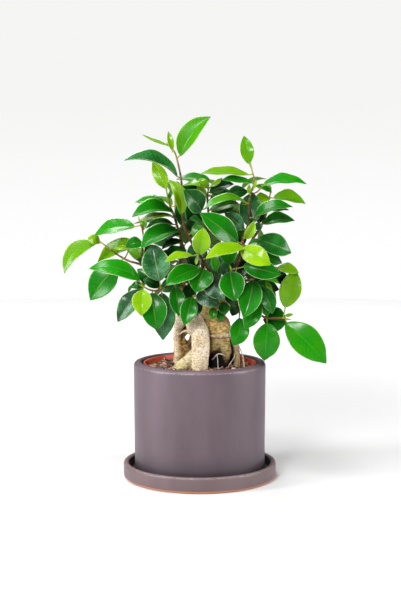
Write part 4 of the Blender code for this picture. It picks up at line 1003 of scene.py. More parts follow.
gold = bark.blend(burnt * 0.8, gold, paint(122, 74, 24))
skin_tone = bark.blend(bark.attribute("golden") * 0.85, skin_tone, gold)
# Low down, near the soil, the bark is greener and grimier.
damp_and_shade = (height + 0.03 * patch).step(0.160, 0.128)
skin_tone = bark.blend(bark.attribute("green") * (0.45 + 0.55 * damp_and_shade) + damp_and_shade * 0.18, skin_tone, olive)
skin_tone = bark.blend(grime * (0.2 + 0.35 * damp_and_shade), skin_tone, paint(96, 70, 40))
skin_tone = bark.blend(speck * 0.7, skin_tone, paint(104, 68, 36))
# Painted shade: the grooves between roots and the places that see little of the open are darkened.
crease = bark.attribute("crease").step(0.04, 0.6)
hollow_shade = bark.attribute("open").step(0.34, 0.06)
skin_tone = bark.blend(crease * 0.85, skin_tone, paint(48, 30, 16))
skin_tone = bark.blend(hollow_shade * 0.75, skin_tone, paint(26, 16, 9))
# painted shade: black in the hollows and clefts, where the tints say so
skin_tone = bark.blend(bark.attribute("black"), skin_tone, paint(7, 6, 6))
bark.feed(Base_Color=skin_tone, Roughness=0.6 + 0.25 * streak)
bark.relief(streak * 0.6 + speck * 0.2 + bark.noise(1600) * 0.3, 0.0007)
print("bark nodes:", len(bark.tree.nodes))

# %% [markdown]
# ## The crown's places
# Each shoot has a place on the wood that it grows from, its stems, and its leaves: base, tip, width, the
# way the upper side looks, how the midrib bows, and how far the halves are folded.  The shoots that the
# photograph shows are listed leaf by leaf.  Those behind are worked out by a rule: leaves stand round a
# stem by the golden angle.

# %% Leaves and stems in view
# A leaf: base and tip as (across, height, depth), its width, the way its upper side looks, how far the
# midrib bows to that side and sideways, the angle by which each half is folded up from flat,
# and how fresh it is: 0 is an old dark leaf, 1 a new lime one.
Leaf = namedtuple("Leaf", "base tip width face arch sweep fold tone")
# A shoot: the place on the wood that it grows from, its stems as (across, height, depth, radius), its leaves.
Shoot = namedtuple("Shoot", "root stems leaves")

SHOOTS = {}

SHOOTS["leader"] = Shoot(
    root=(14, 208, -14.3),
    stems=[
        [(13.5, 215.5, -17, 2.4), (9, 222, -20, 2.2), (3, 231, -24, 2.0), (-6, 246, -22, 1.8),
         (-15, 262, -18, 1.6), (-18, 276, -14, 1.5), (-19, 292, -11, 1.3), (-19, 312, -9, 1.2),
         (-22, 330, -7, 1.1), (-26, 344, -6, 1.0), (-31, 350, -5, 0.8)],
        [(3, 231, -24, 1.5), (1, 235, -32, 1.3), (-1, 238, -40, 1.0)],
    ],
    leaves=[
        Leaf((-20, 340, -8), (11.5, 381, -12), 26, (-0.5, -0.9, 0.3), 3, -3.8, 24, 0.5),
        Leaf((-28.5, 346, -6), (-33, 366, -4), 7, (0.2, -1, 0), 1, 0, 15, 0.8),
        Leaf((-31, 351, -5), (-61, 363, 0), 9, (0.1, -0.2, 1), -2, 0, 24, 0.75),
        Leaf((-23, 318, -11), (-79, 335.5, -22), 32, (-0.1, -0.45, 1), 9, 0, 24, 0.08),
        Leaf((-18, 307, -14), (0, 309, -34), 16, (-0.1, -0.5, 1), 5, 0, 5, 0.62),
        Leaf((-20, 279, -22), (-33, 316, -30), 16, (0.5, -1, -0.1), 2, 5, 22, 0.88),
        Leaf((1, 222, -36), (-36, 204, -58), 22, (0, -0.9, 0.75), 3, 2, 10, 0.25),
        Leaf((4.5, 222, -27), (-4.5, 197, -43), 27, (0, -1, 0.35), 3, 0, 12, 0.2),
        Leaf((0, 237, -46), (4, 266, -50), 19, (0, -1, 0.1), 3, 0, 14, 0.85),
        Leaf((-7, 236, -46), (-37, 229, -60), 16, (0, -0.45, 1), 2, 0, 20, 0.92),
        Leaf((-3, 234, -44), (-4, 226, -48), 3.5, (0, -1, 0.3), 1, 0, 10, 0.95),
        Leaf((4, 268, -22), (-11, 275, -34), 13.5, (0, -0.8, 1), 2, 0, 8, 0.1),
        Leaf((1, 253, -26), (-4, 271, -22), 13.5, (-0.3, -1, 0.3), 2, 0, 10, 0.5),
        Leaf((15, 235, -28), (17, 219, -34), 9.5, (0.2, -1, 0.2), 1, 0, 12, 0.4),
        Leaf((16, 216, -30), (27, 189.5, -48), 23, (-0.2, -1, 0.5), 4, 4.5, 6, 0.0),
    ],
)

SHOOTS["upper_left"] = Shoot(
    root=(-19.5, 208, -4),
    stems=[
        [(-21.5, 215, -4, 2.2), (-20, 236, -3, 2.0), (-20, 254, -3, 1.7), (-24, 268, -4, 1.5),
         (-27, 278, -3, 1.4), (-31, 288, -2, 1.2), (-33, 296, -1, 1.0), (-35, 305, 1, 0.8)],
    ],
    leaves=[
        Leaf((-35, 306, 1), (-49.5, 334.5, 8), 15.5, (-0.1, -1, -0.1), 1, 1, 12, 0.85),
        Leaf((-32, 295, -2), (-30, 306, -3), 4, (0, -1, 0), 0, 0, 10, 0.5),
        Leaf((-34, 284, 10), (-68, 292, 18), 21, (-0.2, -0.55, 1), 5, 0, 14, 0.35),
        Leaf((-27, 277, -24), (-64.5, 271.5, -34), 16, (0, -0.35, 1), 3.5, 0, 10, 0.85),
        Leaf((-26, 280, -8), (-70.5, 271, -22), 29, (0, -0.6, 1), 7, 0, 22, 0.22),
        Leaf((-22, 262.5, -20), (-62, 243, -41), 29, (0, -0.6, 1), 5, 0, 24, 0.2),
        Leaf((-27, 268.5, -7), (-57, 264.5, -16), 14.5, (0, -0.6, 1), 5, 0, 14, 0.3),
        Leaf((-20, 259, -9), (-41, 250, -20), 12.5, (0, -0.5, 1), 3, 0, 12, 0.1),
        Leaf((-19, 252, -12), (-40, 243, -25), 13.5, (0, -0.6, 1), 3, 0, 12, 0.35),
        Leaf((-14, 242.5, -17), (-38, 234, -36), 16, (0, -0.7, 1), 3, 0, 12, 0.12),
        Leaf((-18, 266, 6), (-20, 297, 14), 15, (0, -1, 0.1), 2, 0, 10, 0.2),
        Leaf((-26, 250, 4), (-53, 253, 12), 17, (0, -0.9, 0.6), 2, 0, 10, 0.15),
    ],
)

SHOOTS["far_left"] = Shoot(
    root=(-17, 203, -4),
    stems=[
        [(-27, 206, -6, 2.0), (-35, 213, -6, 1.8), (-46, 220, -4, 1.7), (-58, 225, -2, 1.5),
         (-66, 228, -1, 1.4), (-76, 231, 2, 1.3), (-88, 238, 5, 1.1), (-97, 245, 9, 1.0),
         (-104, 250, 12, 0.8)],
        [(-58, 225, -2, 1.3), (-61, 236, 1, 1.2), (-59, 250, 2, 1.1), (-60, 262, 3, 1.0), (-63, 272, 5, 0.8)],
    ],
    leaves=[
        Leaf((-109, 248.5, 13), (-142.5, 217, 12), 18.5, (-0.3, -0.8, 0.3), 2, 10, 12, 0.66),
        Leaf((-105, 251, 13), (-118, 254, 12), 11.5, (0.3, -1, 0.5), 2, 0, 10, 0.88),
        Leaf((-66, 248.5, 7), (-108, 228.5, 22), 22, (-0.2, -0.8, 0.7), 4, 3, 14, 0.68),
        Leaf((-73, 243, 3), (-91, 243, 2), 7, (0, -0.8, 1), 1, 0, 20, 0.98),
        Leaf((-60, 249.5, -1), (-78, 245, -4), 15.5, (0, -0.8, 0.6), 3, 0, 12, 0.2),
        Leaf((-68, 266.5, 6), (-111, 257, 9), 25.5, (-0.1, -0.7, 1), 4.5, 0.8, 12, 0.35),
        Leaf((-59, 263, 7), (-57.5, 275, 12), 6, (0, -1, 0.2), 1, 0, 10, 0.6),
        Leaf((-86.5, 225.5, -5), (-115.5, 188.5, -5), 31, (-0.2, -0.9, 0.35), 3, 1, 8, 0.15),
        Leaf((-44, 226, 4), (-66, 232, 12), 14, (0, -0.9, 0.6), 2, 0, 10, 0.3),
    ],
)

SHOOTS["low_left"] = Shoot(
    root=(12, 200, -11.5),
    stems=[
        [(5, 205, -17, 1.8), (-4, 210, -20, 1.7), (-15, 212, -22, 1.6), (-27, 207, -26, 1.4),
         (-36, 203, -29, 1.3), (-46, 199, -32, 1.2), (-53, 200, -34, 1.1), (-59, 203, -36, 0.9)],
    ],
    leaves=[
        Leaf((-63, 210, -38), (-117, 222, -46), 22, (-0.1, -0.85, 0.8), 8, 3, 6, 0.3),
        Leaf((-60, 200, -44), (-62, 172, -54), 21, (0, -1, 0.25), 3, 0, 14, 0.9),
        Leaf((-62, 200, -34), (-87, 165.5, -36), 22, (-0.4, -0.9, 0.3), 3, 0, 10, 0.04),
        Leaf((-58, 203.5, -30), (-74, 202.5, -30), 12, (0, -0.8, 1), 2, 0, 8, 0.15),
        Leaf((-50, 197, -38), (-45, 156.5, -44), 27.5, (0.1, -1, 0.25), 3, 1, 14, 0.15),
        Leaf((-40, 197, -28), (-39, 146, -30), 26, (0.25, -0.95, 0.2), 4, 0, 8, 0.06),
        Leaf((-42, 209, -38), (-50, 248, -34), 29.5, (-0.1, -1, 0.2), 3, 0, 12, 0.05),
        Leaf((-42, 203, -26), (-60, 211, -26), 13.5, (0, -0.9, 0.6), 2, 0, 8, 0.1),
        Leaf((-47, 206, -20), (-66, 222, -18), 16, (-0.2, -0.9, 0.5), 2, 0, 8, 0.1),
        Leaf((-26, 204, -24), (-22, 172, -30), 17, (0.1, -1, 0.3), 2, 0, 10, 0.2),
        Leaf((-18, 211, -10), (-43, 199, -6), 16, (0, -1, 0.3), 2, 0, 10, 0.1),
        Leaf((-6, 208, -8), (-16, 186, -4), 15, (0, -1, 0.2), 2, 0, 10, 0.1),
    ],
)

SHOOTS["low_front"] = Shoot(
    root=(9.3, 189, -8.2),
    stems=[
        [(9, 190, -18, 1.7), (6, 193, -23, 1.5), (1, 195, -28, 1.3), (-4, 194, -33, 0.9)],
        [(6, 193, -23, 1.3), (14, 191, -26, 1.1), (22, 187, -25, 0.9)],
    ],
    leaves=[
        Leaf((-8.5, 192, -36), (-16.5, 161.5, -48), 18, (0.1, -1, 0.3), 3, 0, 12, 0.2),
        Leaf((-1, 190, -28), (-3, 172, -32), 9.5, (0.5, -1, 0.2), 1, 0, 10, 0.1),
        Leaf((-1, 198, -32), (22.5, 183.5, -44), 19, (-0.1, -0.9, 0.6), 4, 3, 6, 0.0),
        Leaf((14, 181, -28), (14, 168, -32), 9.5, (0, -1, 0.4), 1, 0, 10, 0.35),
        Leaf((21, 179, -24), (22, 166, -26), 9.5, (0.2, -1, 0.3), 1, 0, 10, 0.2),
        Leaf((24, 187, -26), (27, 173, -28), 12.5, (0.1, -1, 0.3), 1, 0, 10, 0.15),
    ],
)

SHOOTS["upper_right"] = Shoot(
    root=(33.5, 214, -11.8),
    stems=[
        [(36, 222, -16, 2.3), (41, 232, -22, 2.1), (43, 243, -27, 1.9), (46, 255, -27, 1.7),
         (50, 266, -25, 1.5), (52, 276, -23, 1.4), (51, 288, -20, 1.3), (53, 300, -17, 1.1),
         (57, 314, -14, 1.0), (54, 328, -12, 0.8)],
        [(53, 300, -17, 0.9), (60, 303, -14, 0.9), (66, 309, -12, 0.7)],
    ],
    leaves=[
        Leaf((47, 245, -42), (6, 233, -68), 22, (-0.1, -0.7, 1), 4, -1, 14, 0.9),
        Leaf((43, 243, -48), (75, 226, -60), 22, (0, -1, 0.45), 3, 0, 12, 0.95),
        Leaf((48, 254, -38), (57, 273, -44), 11.5, (0.1, -1, 0.1), 2, 1, 30, 0.9),
        Leaf((40, 250, -36), (0, 281, -44), 25, (0.25, -1, 0.35), 3, 0, 14, 0.15),
        Leaf((46, 263, -24), (26, 281, -22), 16, (0.2, -1, 0.5), 2, 0, 12, 0.05),
        Leaf((51, 267, -16), (55, 303, -6), 25, (0, -1, 0.1), 3, 0, 16, 0.08),
        Leaf((57, 276, -32), (98, 287, -30), 20, (0.1, -0.62, 1), 6, 0, 22, 0.15),
        Leaf((48, 293, -26), (5, 285, -38), 21, (0, -0.35, 1), 5, 0, 24, 0.5),
        Leaf((52, 301, -20), (52, 311, -22), 5, (-0.3, -1, 0), 1, 0, 15, 0.95),
        Leaf((56, 306, -16), (59, 316, -16), 4, (0.3, -1, 0), 1, 0, 15, 0.95),
        Leaf((51.5, 332, -12), (46, 361.5, -8), 15, (0.1, -1, 0.1), 2, 0, 12, 0.6),
        Leaf((52, 320.5, -12), (0, 321.5, -22), 22, (0, -0.45, 1), 3, 0, 10, 0.7),
        Leaf((56, 312, -18), (22, 315, -30), 17, (0, -0.5, 1), 2, 0, 10, 0.25),
        Leaf((66, 309.5, -12), (112, 311, -8), 24, (0, -0.5, 1), 5, 0, 16, 0.28),
        Leaf((41, 291, -12), (9, 283, -14), 15, (0, -0.8, 1), 2, 0, 12, 0.5),
        Leaf((58, 309, -6), (76, 302, -2), 11, (0, -0.7, 1), 2, 0, 10, 0.3),
        Leaf((29.5, 250, -26), (30, 225.5, -37), 20, (0, -1, 0.2), 2, 0, 14, 0.25),
        Leaf((34, 232, -12), (25.5, 213, -14), 17, (0, -1, 0.2), 1, 0, 10, 0.05),
    ],
)

SHOOTS["right"] = Shoot(
    root=(33, 212, -11),
    stems=[
        [(38, 224, -8, 2.0), (48, 240, -5, 1.8), (56, 254, -2, 1.6), (62, 263, 1, 1.5), (68, 275, 3, 1.3),
         (72, 290, 5, 1.1), (74, 302, 5, 0.8)],
    ],
    leaves=[
        Leaf((67, 269, -3), (100, 272.5, 6), 23, (0, -0.6, 1), 4, 0, 16, 0.12),
        Leaf((77, 296.5, 8), (111, 290, 17), 23, (0.2, -0.7, 1), 4, 0, 18, 0.62),
        Leaf((72, 298, -1), (58, 291, -15), 14.5, (0, -0.9, 0.6), 2, 0, 10, 0.72),
        Leaf((74, 302, 5), (72, 316, 4), 3.5, (-0.5, -1, 0), 0, 0, 15, 0.85),
        Leaf((60, 253, -8), (96.5, 239, -2), 27, (0.1, -0.9, 0.6), 4, 1, 10, 0.1),
        Leaf((52, 248, -19), (68, 249, -21), 11.5, (0, -0.7, 1), 2, 0, 10, 0.25),
        Leaf((57, 266, -15), (66, 267, -12), 9, (0.1, -1, 0.3), 1, 0, 8, 0.05),
        Leaf((73, 273, 9), (88, 280, 21), 12.5, (0, -0.6, 1), 2, 0, 12, 0.75),
        Leaf((74, 283, 12), (94, 284, 26), 9.5, (0.2, -0.6, 1), 2, 0, 12, 0.08),
        Leaf((46, 247, 4), (37, 272, 8), 16, (0, -1, 0.1), 2, 0, 10, 0.15),
        Leaf((62, 270, 6), (66, 296, 12), 15, (0, -1, 0.2), 2, 0, 10, 0.2),
        Leaf((58, 239, 2), (87, 228, 6), 17, (0, -1, 0.4), 2, 0, 10, 0.22),
        Leaf((51, 238, 2), (41, 211, 4), 18, (0, -1, 0.3), 2, 0, 10, 0.05),
    ],
)

SHOOTS["right_middle"] = Shoot(
    root=(29.7, 202.5, -8.2),
    stems=[
        [(35, 204, -17, 2.0), (40, 207, -22, 1.8), (46, 209, -26, 1.6), (56, 211, -29, 1.4),
         (61, 216, -29, 1.2), (72, 218, -24, 1.1), (82, 221, -18, 0.9)],
        [(40, 207, -22, 1.3), (35, 213, -27, 1.1), (33, 221, -32, 0.9)],
        [(46, 209, -26, 1.2), (54, 203, -28, 1.1), (60, 196, -28, 0.9)],
    ],
    leaves=[
        Leaf((46, 226, -34), (86, 216, -38), 23, (0.1, -0.9, 0.5), 4, 2, 10, 0.12),
        Leaf((32, 219, -40), (37.5, 187.5, -54), 27.5, (-0.1, -1, 0.3), 3, 0, 14, 0.15),
        Leaf((28, 201, -28), (38, 181, -36), 12.5, (0, -1, 0.3), 1, 0, 10, 0.05),
        Leaf((56, 210, -38), (46, 170, -52), 25, (-0.1, -1, 0.3), 3, -2, 12, 0.2),
        Leaf((60, 191, -32), (47.5, 157.5, -42), 20, (0.2, -1, 0.3), 3, -1, 12, 0.25),
        Leaf((63, 203, -26), (77, 174, -36), 18, (0.3, -1, 0.3), 3, -1, 12, 0.1),
        Leaf((64, 190, -20), (72, 171, -26), 12.5, (0.2, -1, 0.5), 2, 0, 8, 0.15),
        Leaf((81, 222, -14), (104.5, 217.5, -16), 16, (0.1, -0.8, 1), 3, 0, 12, 0.7),
        Leaf((60, 213, -24), (85, 206, -22), 12, (0, -0.5, 1), 2, 0, 14, 0.5),
        Leaf((69, 210, -20), (77, 198, -20), 5, (-0.3, -1, 0.2), 1, 0, 10, 0.7),
        Leaf((80, 219, -12), (92, 205, -10), 13.5, (0.1, -1, 0.3), 1, 0, 10, 0.12),
        Leaf((48, 216, -14), (78, 205, -10), 18, (0, -1, 0.3), 2, 0, 10, 0.12),
        Leaf((58, 206, -16), (84, 200, -12), 15, (0, -1, 0.3), 2, 0, 10, 0.15),
    ],
)

SHOOTS["low_right"] = Shoot(
    root=(24.5, 187.5, -4.5),
    stems=[
        [(33, 184, -8, 2.0), (41, 181, -11, 1.8), (50, 178, -14, 1.6), (64, 173, -16, 1.4),
         (71, 170, -17, 1.3), (84, 170, -16, 1.1), (91, 169, -15, 0.9)],
        [(41, 181, -11, 1.2), (42, 176, -16, 1.0), (42, 171, -20, 0.8)],
    ],
    leaves=[
        Leaf((71.5, 165, -20), (68.5, 124, -20), 29.5, (0.1, -1, 0.2), 3, 0, 12, 0.3),
        Leaf((90.5, 164.5, -17), (134.5, 121, -26), 32.5, (0, -1, 0.35), 4, -1, 10, 0.35),
        Leaf((92, 166.5, -6), (67, 168.5, -2), 27, (0, -1, 0.35), 3, 0, 8, 0.12),
        Leaf((90, 181, -13), (101, 222, -10), 24, (0.1, -1, 0.1), 2, 0, 12, 0.72),
        Leaf((41.5, 170, -22), (34.5, 140.5, -28), 21, (0.1, -1, 0.3), 3, -3.5, 8, 0.25),
        Leaf((90, 172, -12), (99, 174, -12), 4, (0, -1, 0.3), 0, 0, 10, 0.8),
        Leaf((66, 178, -8), (78, 204, -4), 17, (0, -1, 0.2), 2, 0, 10, 0.15),
        Leaf((41, 189, -3), (34, 172, 0), 12, (0, -1, 0.2), 2, 0, 10, 0.12),
    ],
)

SHOOTS["top"] = Shoot(
    root=(4, 213, 22.6),
    stems=[
        [(4, 221, 25, 2.4), (6, 237, 18, 2.1), (8, 258, 8, 1.8), (9, 280, -2, 1.5), (8, 296, -6, 1.2),
         (9, 306, -7, 0.9)],
    ],
    leaves=[
        Leaf((10, 302, -8), (36, 311, -14), 19, (0, -0.8, 1), 3, 0, 12, 0.15),
        Leaf((8, 307, -12), (-1, 317, -16), 9.5, (-0.3, -0.8, 0.6), 2, 0, 10, 0.8),
        Leaf((11, 309, -10), (24, 318, -14), 9.5, (0.2, -0.6, 1), -2, 0, 14, 0.82),
        Leaf((11, 315, 1), (-25, 316, 8), 20, (0, -0.5, 1), 2, 0, 10, 0.3),
        Leaf((6, 297, -13), (-3, 310, -18), 9.5, (0.2, -1, 0.1), 1, 0, 10, 0.85),
        Leaf((2, 283, -18), (-17, 305, -32), 24, (0.2, -1, 0.35), 4, 0, 12, 0.08),
        Leaf((28, 299, 0), (51, 303, 2), 16, (0, -0.8, 0.6), 3, 0, 8, 0.1),
        Leaf((6, 300, -2), (-21, 308, -2), 15, (0, -0.7, 1), 2, 0, 10, 0.3),
        Leaf((11, 296, 2), (38, 304, 8), 16, (0, -0.8, 1), 2, 0, 10, 0.25),
        Leaf((12, 282, 6), (36, 287, 12), 15, (0, -0.9, 0.7), 2, 0, 10, 0.15),
        Leaf((0, 268, 10), (-14, 290, 8), 18, (0, -1, 0.2), 2, 0, 10, 0.12),
        Leaf((-3, 251, 16), (-5, 222, 8), 20, (0, -1, 0.3), 2, 0, 10, 0.05),
        Leaf((12, 243, 16), (21, 211, 8), 19, (0, -1, 0.3), 2, 0, 10, 0.05),
        Leaf((13, 262, 8), (34, 254, 4), 16, (0, -1, 0.4), 2, 0, 10, 0.12),
        Leaf((2, 262, 4), (-18, 271, 2), 13, (0, -1, 0.4), 2, 0, 10, 0.1),
    ],
)

print("leaves listed:", sum(len(shoot.leaves) for shoot in SHOOTS.values()))

# %% Leaves on the back
GOLDEN_ANGLE = math.pi * (3 - math.sqrt(5))
BACK_LEAVES = 7
BACK_STALK = 9.0
BACK_FIRST = 0.22               # where its lowest and highest leaves are along a stem
BACK_LAST = 0.98
BACK_LENGTH = 50.0              # of its lowest leaf
BACK_TAPER = 16.0               # how much shorter its highest one is
BACK_VARIETY = 4.0
BACK_DROOP = 0.35
BACK_BREADTH = 0.52             # of a leaf, in its lengths
BACK_ARCH = 4
BACK_FOLD = 14
BACK_OLD = 0.12                 # tone of its lowest leaf
BACK_FRESHER = 0.5              # how much fresher its highest one is
BACK_CURVE_STEPS = 6            # steps in which each span of a stem is followed
BACK_SIDEWAYS = (0.3, 1.0, 0.1)  # crossed with a stem, this gives the side where the turning starts
BACK_LEAN = 0.35                # how much its lowest leaf points along the stem
BACK_LEAN_GAIN = 0.6            # and how much more its highest one does
BACK_FACE = (0, 0.25, 1.0)      # the way the leaves look, before the stem and their own turn tilt them
BACK_FACE_AHEAD = 0.5
BACK_FACE_OUTWARD = 0.3
# Each shoot behind: the place it grows from and its stem as (x, height, y, radius), seen square on.
BACK_SHOOTS = {
    "back_upper_left": ((3, 206, 20), [(-6, 214, 27, 2.2), (-14, 232, 36, 1.9), (-21, 252, 45, 1.5),
                                       (-26, 273, 50, 1.2), (-27, 294, 52, 0.9)]),
    "back_upper_right": ((5, 206, 20), [(14, 214, 27, 2.2), (24, 232, 37, 1.9), (32, 256, 47, 1.5),
                                        (37, 280, 53, 1.2), (40, 302, 55, 0.9)]),
    "back_left": ((3, 199, 18), [(-9, 204, 24, 2.1), (-22, 209, 29, 1.8), (-37, 212, 31, 1.4),
                                 (-52, 215, 31, 0.9)]),
    "back_right": ((5, 199, 18), [(18, 204, 24, 2.1), (35, 211, 28, 1.8), (52, 219, 30, 1.4),
                                  (68, 228, 31, 0.9)]),
    "back_low": ((5, 190, 16), [(4, 192, 25, 2.0), (2, 195, 40, 1.7), (-3, 194, 56, 1.3),
                                (-8, 188, 70, 0.9)]),
    "back_middle": ((4, 200, 19), [(4, 206, 30, 2.2), (3, 216, 46, 1.9), (2, 230, 62, 1.4),
                                   (2, 246, 76, 0.9)]),
}


def spray(stem, count, turn):
    """Leaves set round a stem by the golden angle, from a fifth of the way up, shorter towards the tip."""
    curve = smooth(stem, BACK_CURVE_STEPS)
    leaves = []
    for i in range(count):
        part = i / (count - 1)
        row = int((BACK_FIRST + (BACK_LAST - BACK_FIRST) * part) * (len(curve) - 1))
        ahead = unit(curve[min(row + 1, len(curve) - 1), :3] - curve[row - 1, :3])
        side = unit(np.cross(ahead, BACK_SIDEWAYS))
        angle = turn + i * GOLDEN_ANGLE
        radial = side * math.cos(angle) + np.cross(ahead, side) * math.sin(angle)
        heading = unit(ahead * (BACK_LEAN + BACK_LEAN_GAIN * part) + radial)
        base = curve[row, :3] + BACK_STALK * heading
        length = BACK_LENGTH - BACK_TAPER * part + BACK_VARIETY * math.sin(5 * i + turn)
        tip = base + unit(heading - (0, 0, BACK_DROOP)) * length
        face = unit(BACK_FACE + BACK_FACE_AHEAD * ahead - BACK_FACE_OUTWARD * radial)
        tone = BACK_OLD + BACK_FRESHER * part
        leaves.append(Leaf(base, tip, BACK_BREADTH * length, tuple(face), BACK_ARCH, 0, BACK_FOLD, tone))
    return leaves


print("leaves by the rule:", BACK_LEAVES * len(BACK_SHOOTS))

# %% [markdown]
# ## Blades bent clear of each other
# Leaves on a real plant push each other aside.  The solids did the same by one rule, so the same rule runs
# here: each leaf, from the front of the plant back, tries its own place and then small moves of its tip
# until it clears every blade, stalk and stem that already stands.  A coarse blade is enough to test with.

# %% The rule that bends a leaf clear
BLADE_THICKNESS = 0.9
BLADE_FULLNESS = 1.04           # makes up for the straight cuts between the points of the outline
BLADE_ROWS = (0.2, 0.5, 0.8)    # where its rows of points stand along the midrib
PETIOLE_RADIUS = 0.75
PETIOLE_SHORTEST = 1.5
CLEARANCE = 0.25                # kept round every blade, petiole and stem
SHARED_FOOT = 8.0               # leaves of one shoot that start this near each other may touch
BENT_SIZES = (1.0, 0.8)         # of a leaf that has to be bent clear: as given, then shorter
BENT_REACHES = (4, 8, 12)       # how far its tip is moved
# How a row's points stand for the six places round a leaf: left, middle and right above, the same back below.
ROW_OF_SIX = (0, 1, 2, 3, 4, 5)
ROW_OF_FOUR = (0, 1, 2, 2, 3, 0)
ROW_OF_TWO = (0, 0, 0, 1, 1, 1)
GAP = 0.3                       # between a shoot's foot and the stub it grows from
STUB_COLLAR = 0.3               # how much wider a stub is than the shoot's foot
STUB_END = 2.5                  # length of its straight end
BEAD_SPACING = 1.2


def half_width(along):
    """Half the width of a blade along its midrib, from 0 at the base over 1 near the middle to 0."""
    return np.sin(np.pi * np.clip(along, 0, 1) ** 0.9) ** 0.8


def rib_frame(leaf, along):
    """Midrib points base + chord t + 4 bow t (1 - t), with the directions across the blade and up from it."""
    chord = leaf.tip - leaf.base
    forward = unit(chord)
    face = np.array(leaf.face, float)
    up = unit(face - (face @ forward) * forward)
    bow = leaf.arch * up + leaf.sweep * np.cross(forward, up)
    along = np.asarray(along, float)[..., None]
    rib = leaf.base + chord * along + bow * 4 * along * (1 - along)
    heading = unit(chord + bow * 4 * (1 - 2 * along))
    lift = unit(up - (heading @ up)[..., None] * heading)
    return rib, np.cross(heading, lift), lift


def section_of_four(centre, heading, across, radius):
    """Left, top, right and bottom points of a square section that stands across `heading`."""
    side = unit(across - (across @ heading) * heading)
    top = np.cross(side, heading)
    return centre + radius * np.array([-side, top, side, -top])


def section_of_six(leaf, middle, across, lift, reach, half):
    """Points above a blade at its left edge, midrib and right edge, then those below from right to left."""
    fold = math.radians(leaf.fold)
    rise = lift * math.sin(fold)
    left = middle + reach * (rise - across * math.cos(fold))
    right = middle + reach * (rise + across * math.cos(fold))
    up_left = half * (lift * math.cos(fold) + across * math.sin(fold))
    up_right = half * (lift * math.cos(fold) - across * math.sin(fold))
    up_middle = half * lift / math.cos(fold)
    return np.array([left + up_left, middle + up_middle, right + up_right,
                     right - up_right, middle - up_middle, left - up_left])


def blade(leaf, swell=0.0):
    """A closed folded blade, larger all round by `swell`."""
    places, across, lift = rib_frame(leaf, (0.0, *BLADE_ROWS, 1.0))
    heading = np.cross(lift[0], across[0])
    radius = PETIOLE_RADIUS + swell
    half = BLADE_THICKNESS / 2 + swell
    rows = [(section_of_four(leaf.base, heading, across[0], radius), ROW_OF_FOUR)]
    for station, along in enumerate(BLADE_ROWS, 1):
        reach = leaf.width / 2 * BLADE_FULLNESS * half_width(along) + swell
        section = section_of_six(leaf, places[station], across[station], lift[station], reach, half)
        rows.append((section, ROW_OF_SIX))
    end = leaf.tip + swell * unit(leaf.tip - leaf.base)
    rows.append((np.array([end + half * lift[-1], end - half * lift[-1]]), ROW_OF_TWO))
    return joined_rows(rows)


def joined_rows(rows):
    """Points and triangles of a body made of rows of six places, some of which share a point."""
    faces = [(0, 3, 2), (0, 2, 1)]
    numbers = np.array(rows[0][1])
    count = len(rows[0][0])
    for points, order in rows[1:]:
        ahead = count + np.array(order)
        count += len(points)
        for a, b, c, d in zip(numbers, np.roll(numbers, -1), np.roll(ahead, -1), ahead):
            halves = ((a, b, c), (a, c, d))
            faces += [tuple(map(int, corners)) for corners in halves if len(set(corners)) == 3]
        numbers = ahead
    return np.vstack([points for points, _ in rows]), faces


def beads(stem):
    """Closely spaced points (x, y, z, radius) along a stem, for measuring distances to it."""
    rows = []
    for start, end in zip(stem, stem[1:]):
        count = max(2, int(np.linalg.norm(end[:3] - start[:3]) / BEAD_SPACING) + 1)
        rows.append(start + (end - start) * np.linspace(0, 1, count)[:, None])
    return np.vstack(rows)


def petiole(leaf, stems):
    """The stalk from the nearest point of a shoot's stems to the foot of a blade."""
    points = np.vstack([beads(stem) for stem in stems])
    nearest = points[np.argmin(np.linalg.norm(points[:, :3] - leaf.base, axis=1))]
    radius = min(PETIOLE_RADIUS, nearest[3])
    start = nearest[:3]
    if np.linalg.norm(leaf.base - start) < PETIOLE_SHORTEST:
        start = leaf.base - PETIOLE_SHORTEST * unit(leaf.tip - leaf.base)
    return np.array([(*start, radius), (*leaf.base, radius)])


def box_of(points, margin=0.0):
    """The lowest and highest corner of an upright box round the points."""
    return points.min(axis=0) - margin, points.max(axis=0) + margin


def boxes_meet(one, other):
    return bool(np.all(one[0] <= other[1]) and np.all(other[0] <= one[1]))


def nudges():
    """Moves of a leaf's tip that are tried in turn, the smallest first."""
    moves = [(0, 0, 0)]
    for reach in BENT_REACHES:
        moves += [(0, -reach, 0), (0, reach, 0)]
        moves += [(0, -reach, -reach / 2), (0, reach, reach / 2)]
        moves += [(0, -reach, reach / 2), (0, reach, -reach / 2)]
        moves += [(-reach / 2, 0, 0), (reach / 2, 0, 0)]
    return [np.array(move, float) for move in moves]


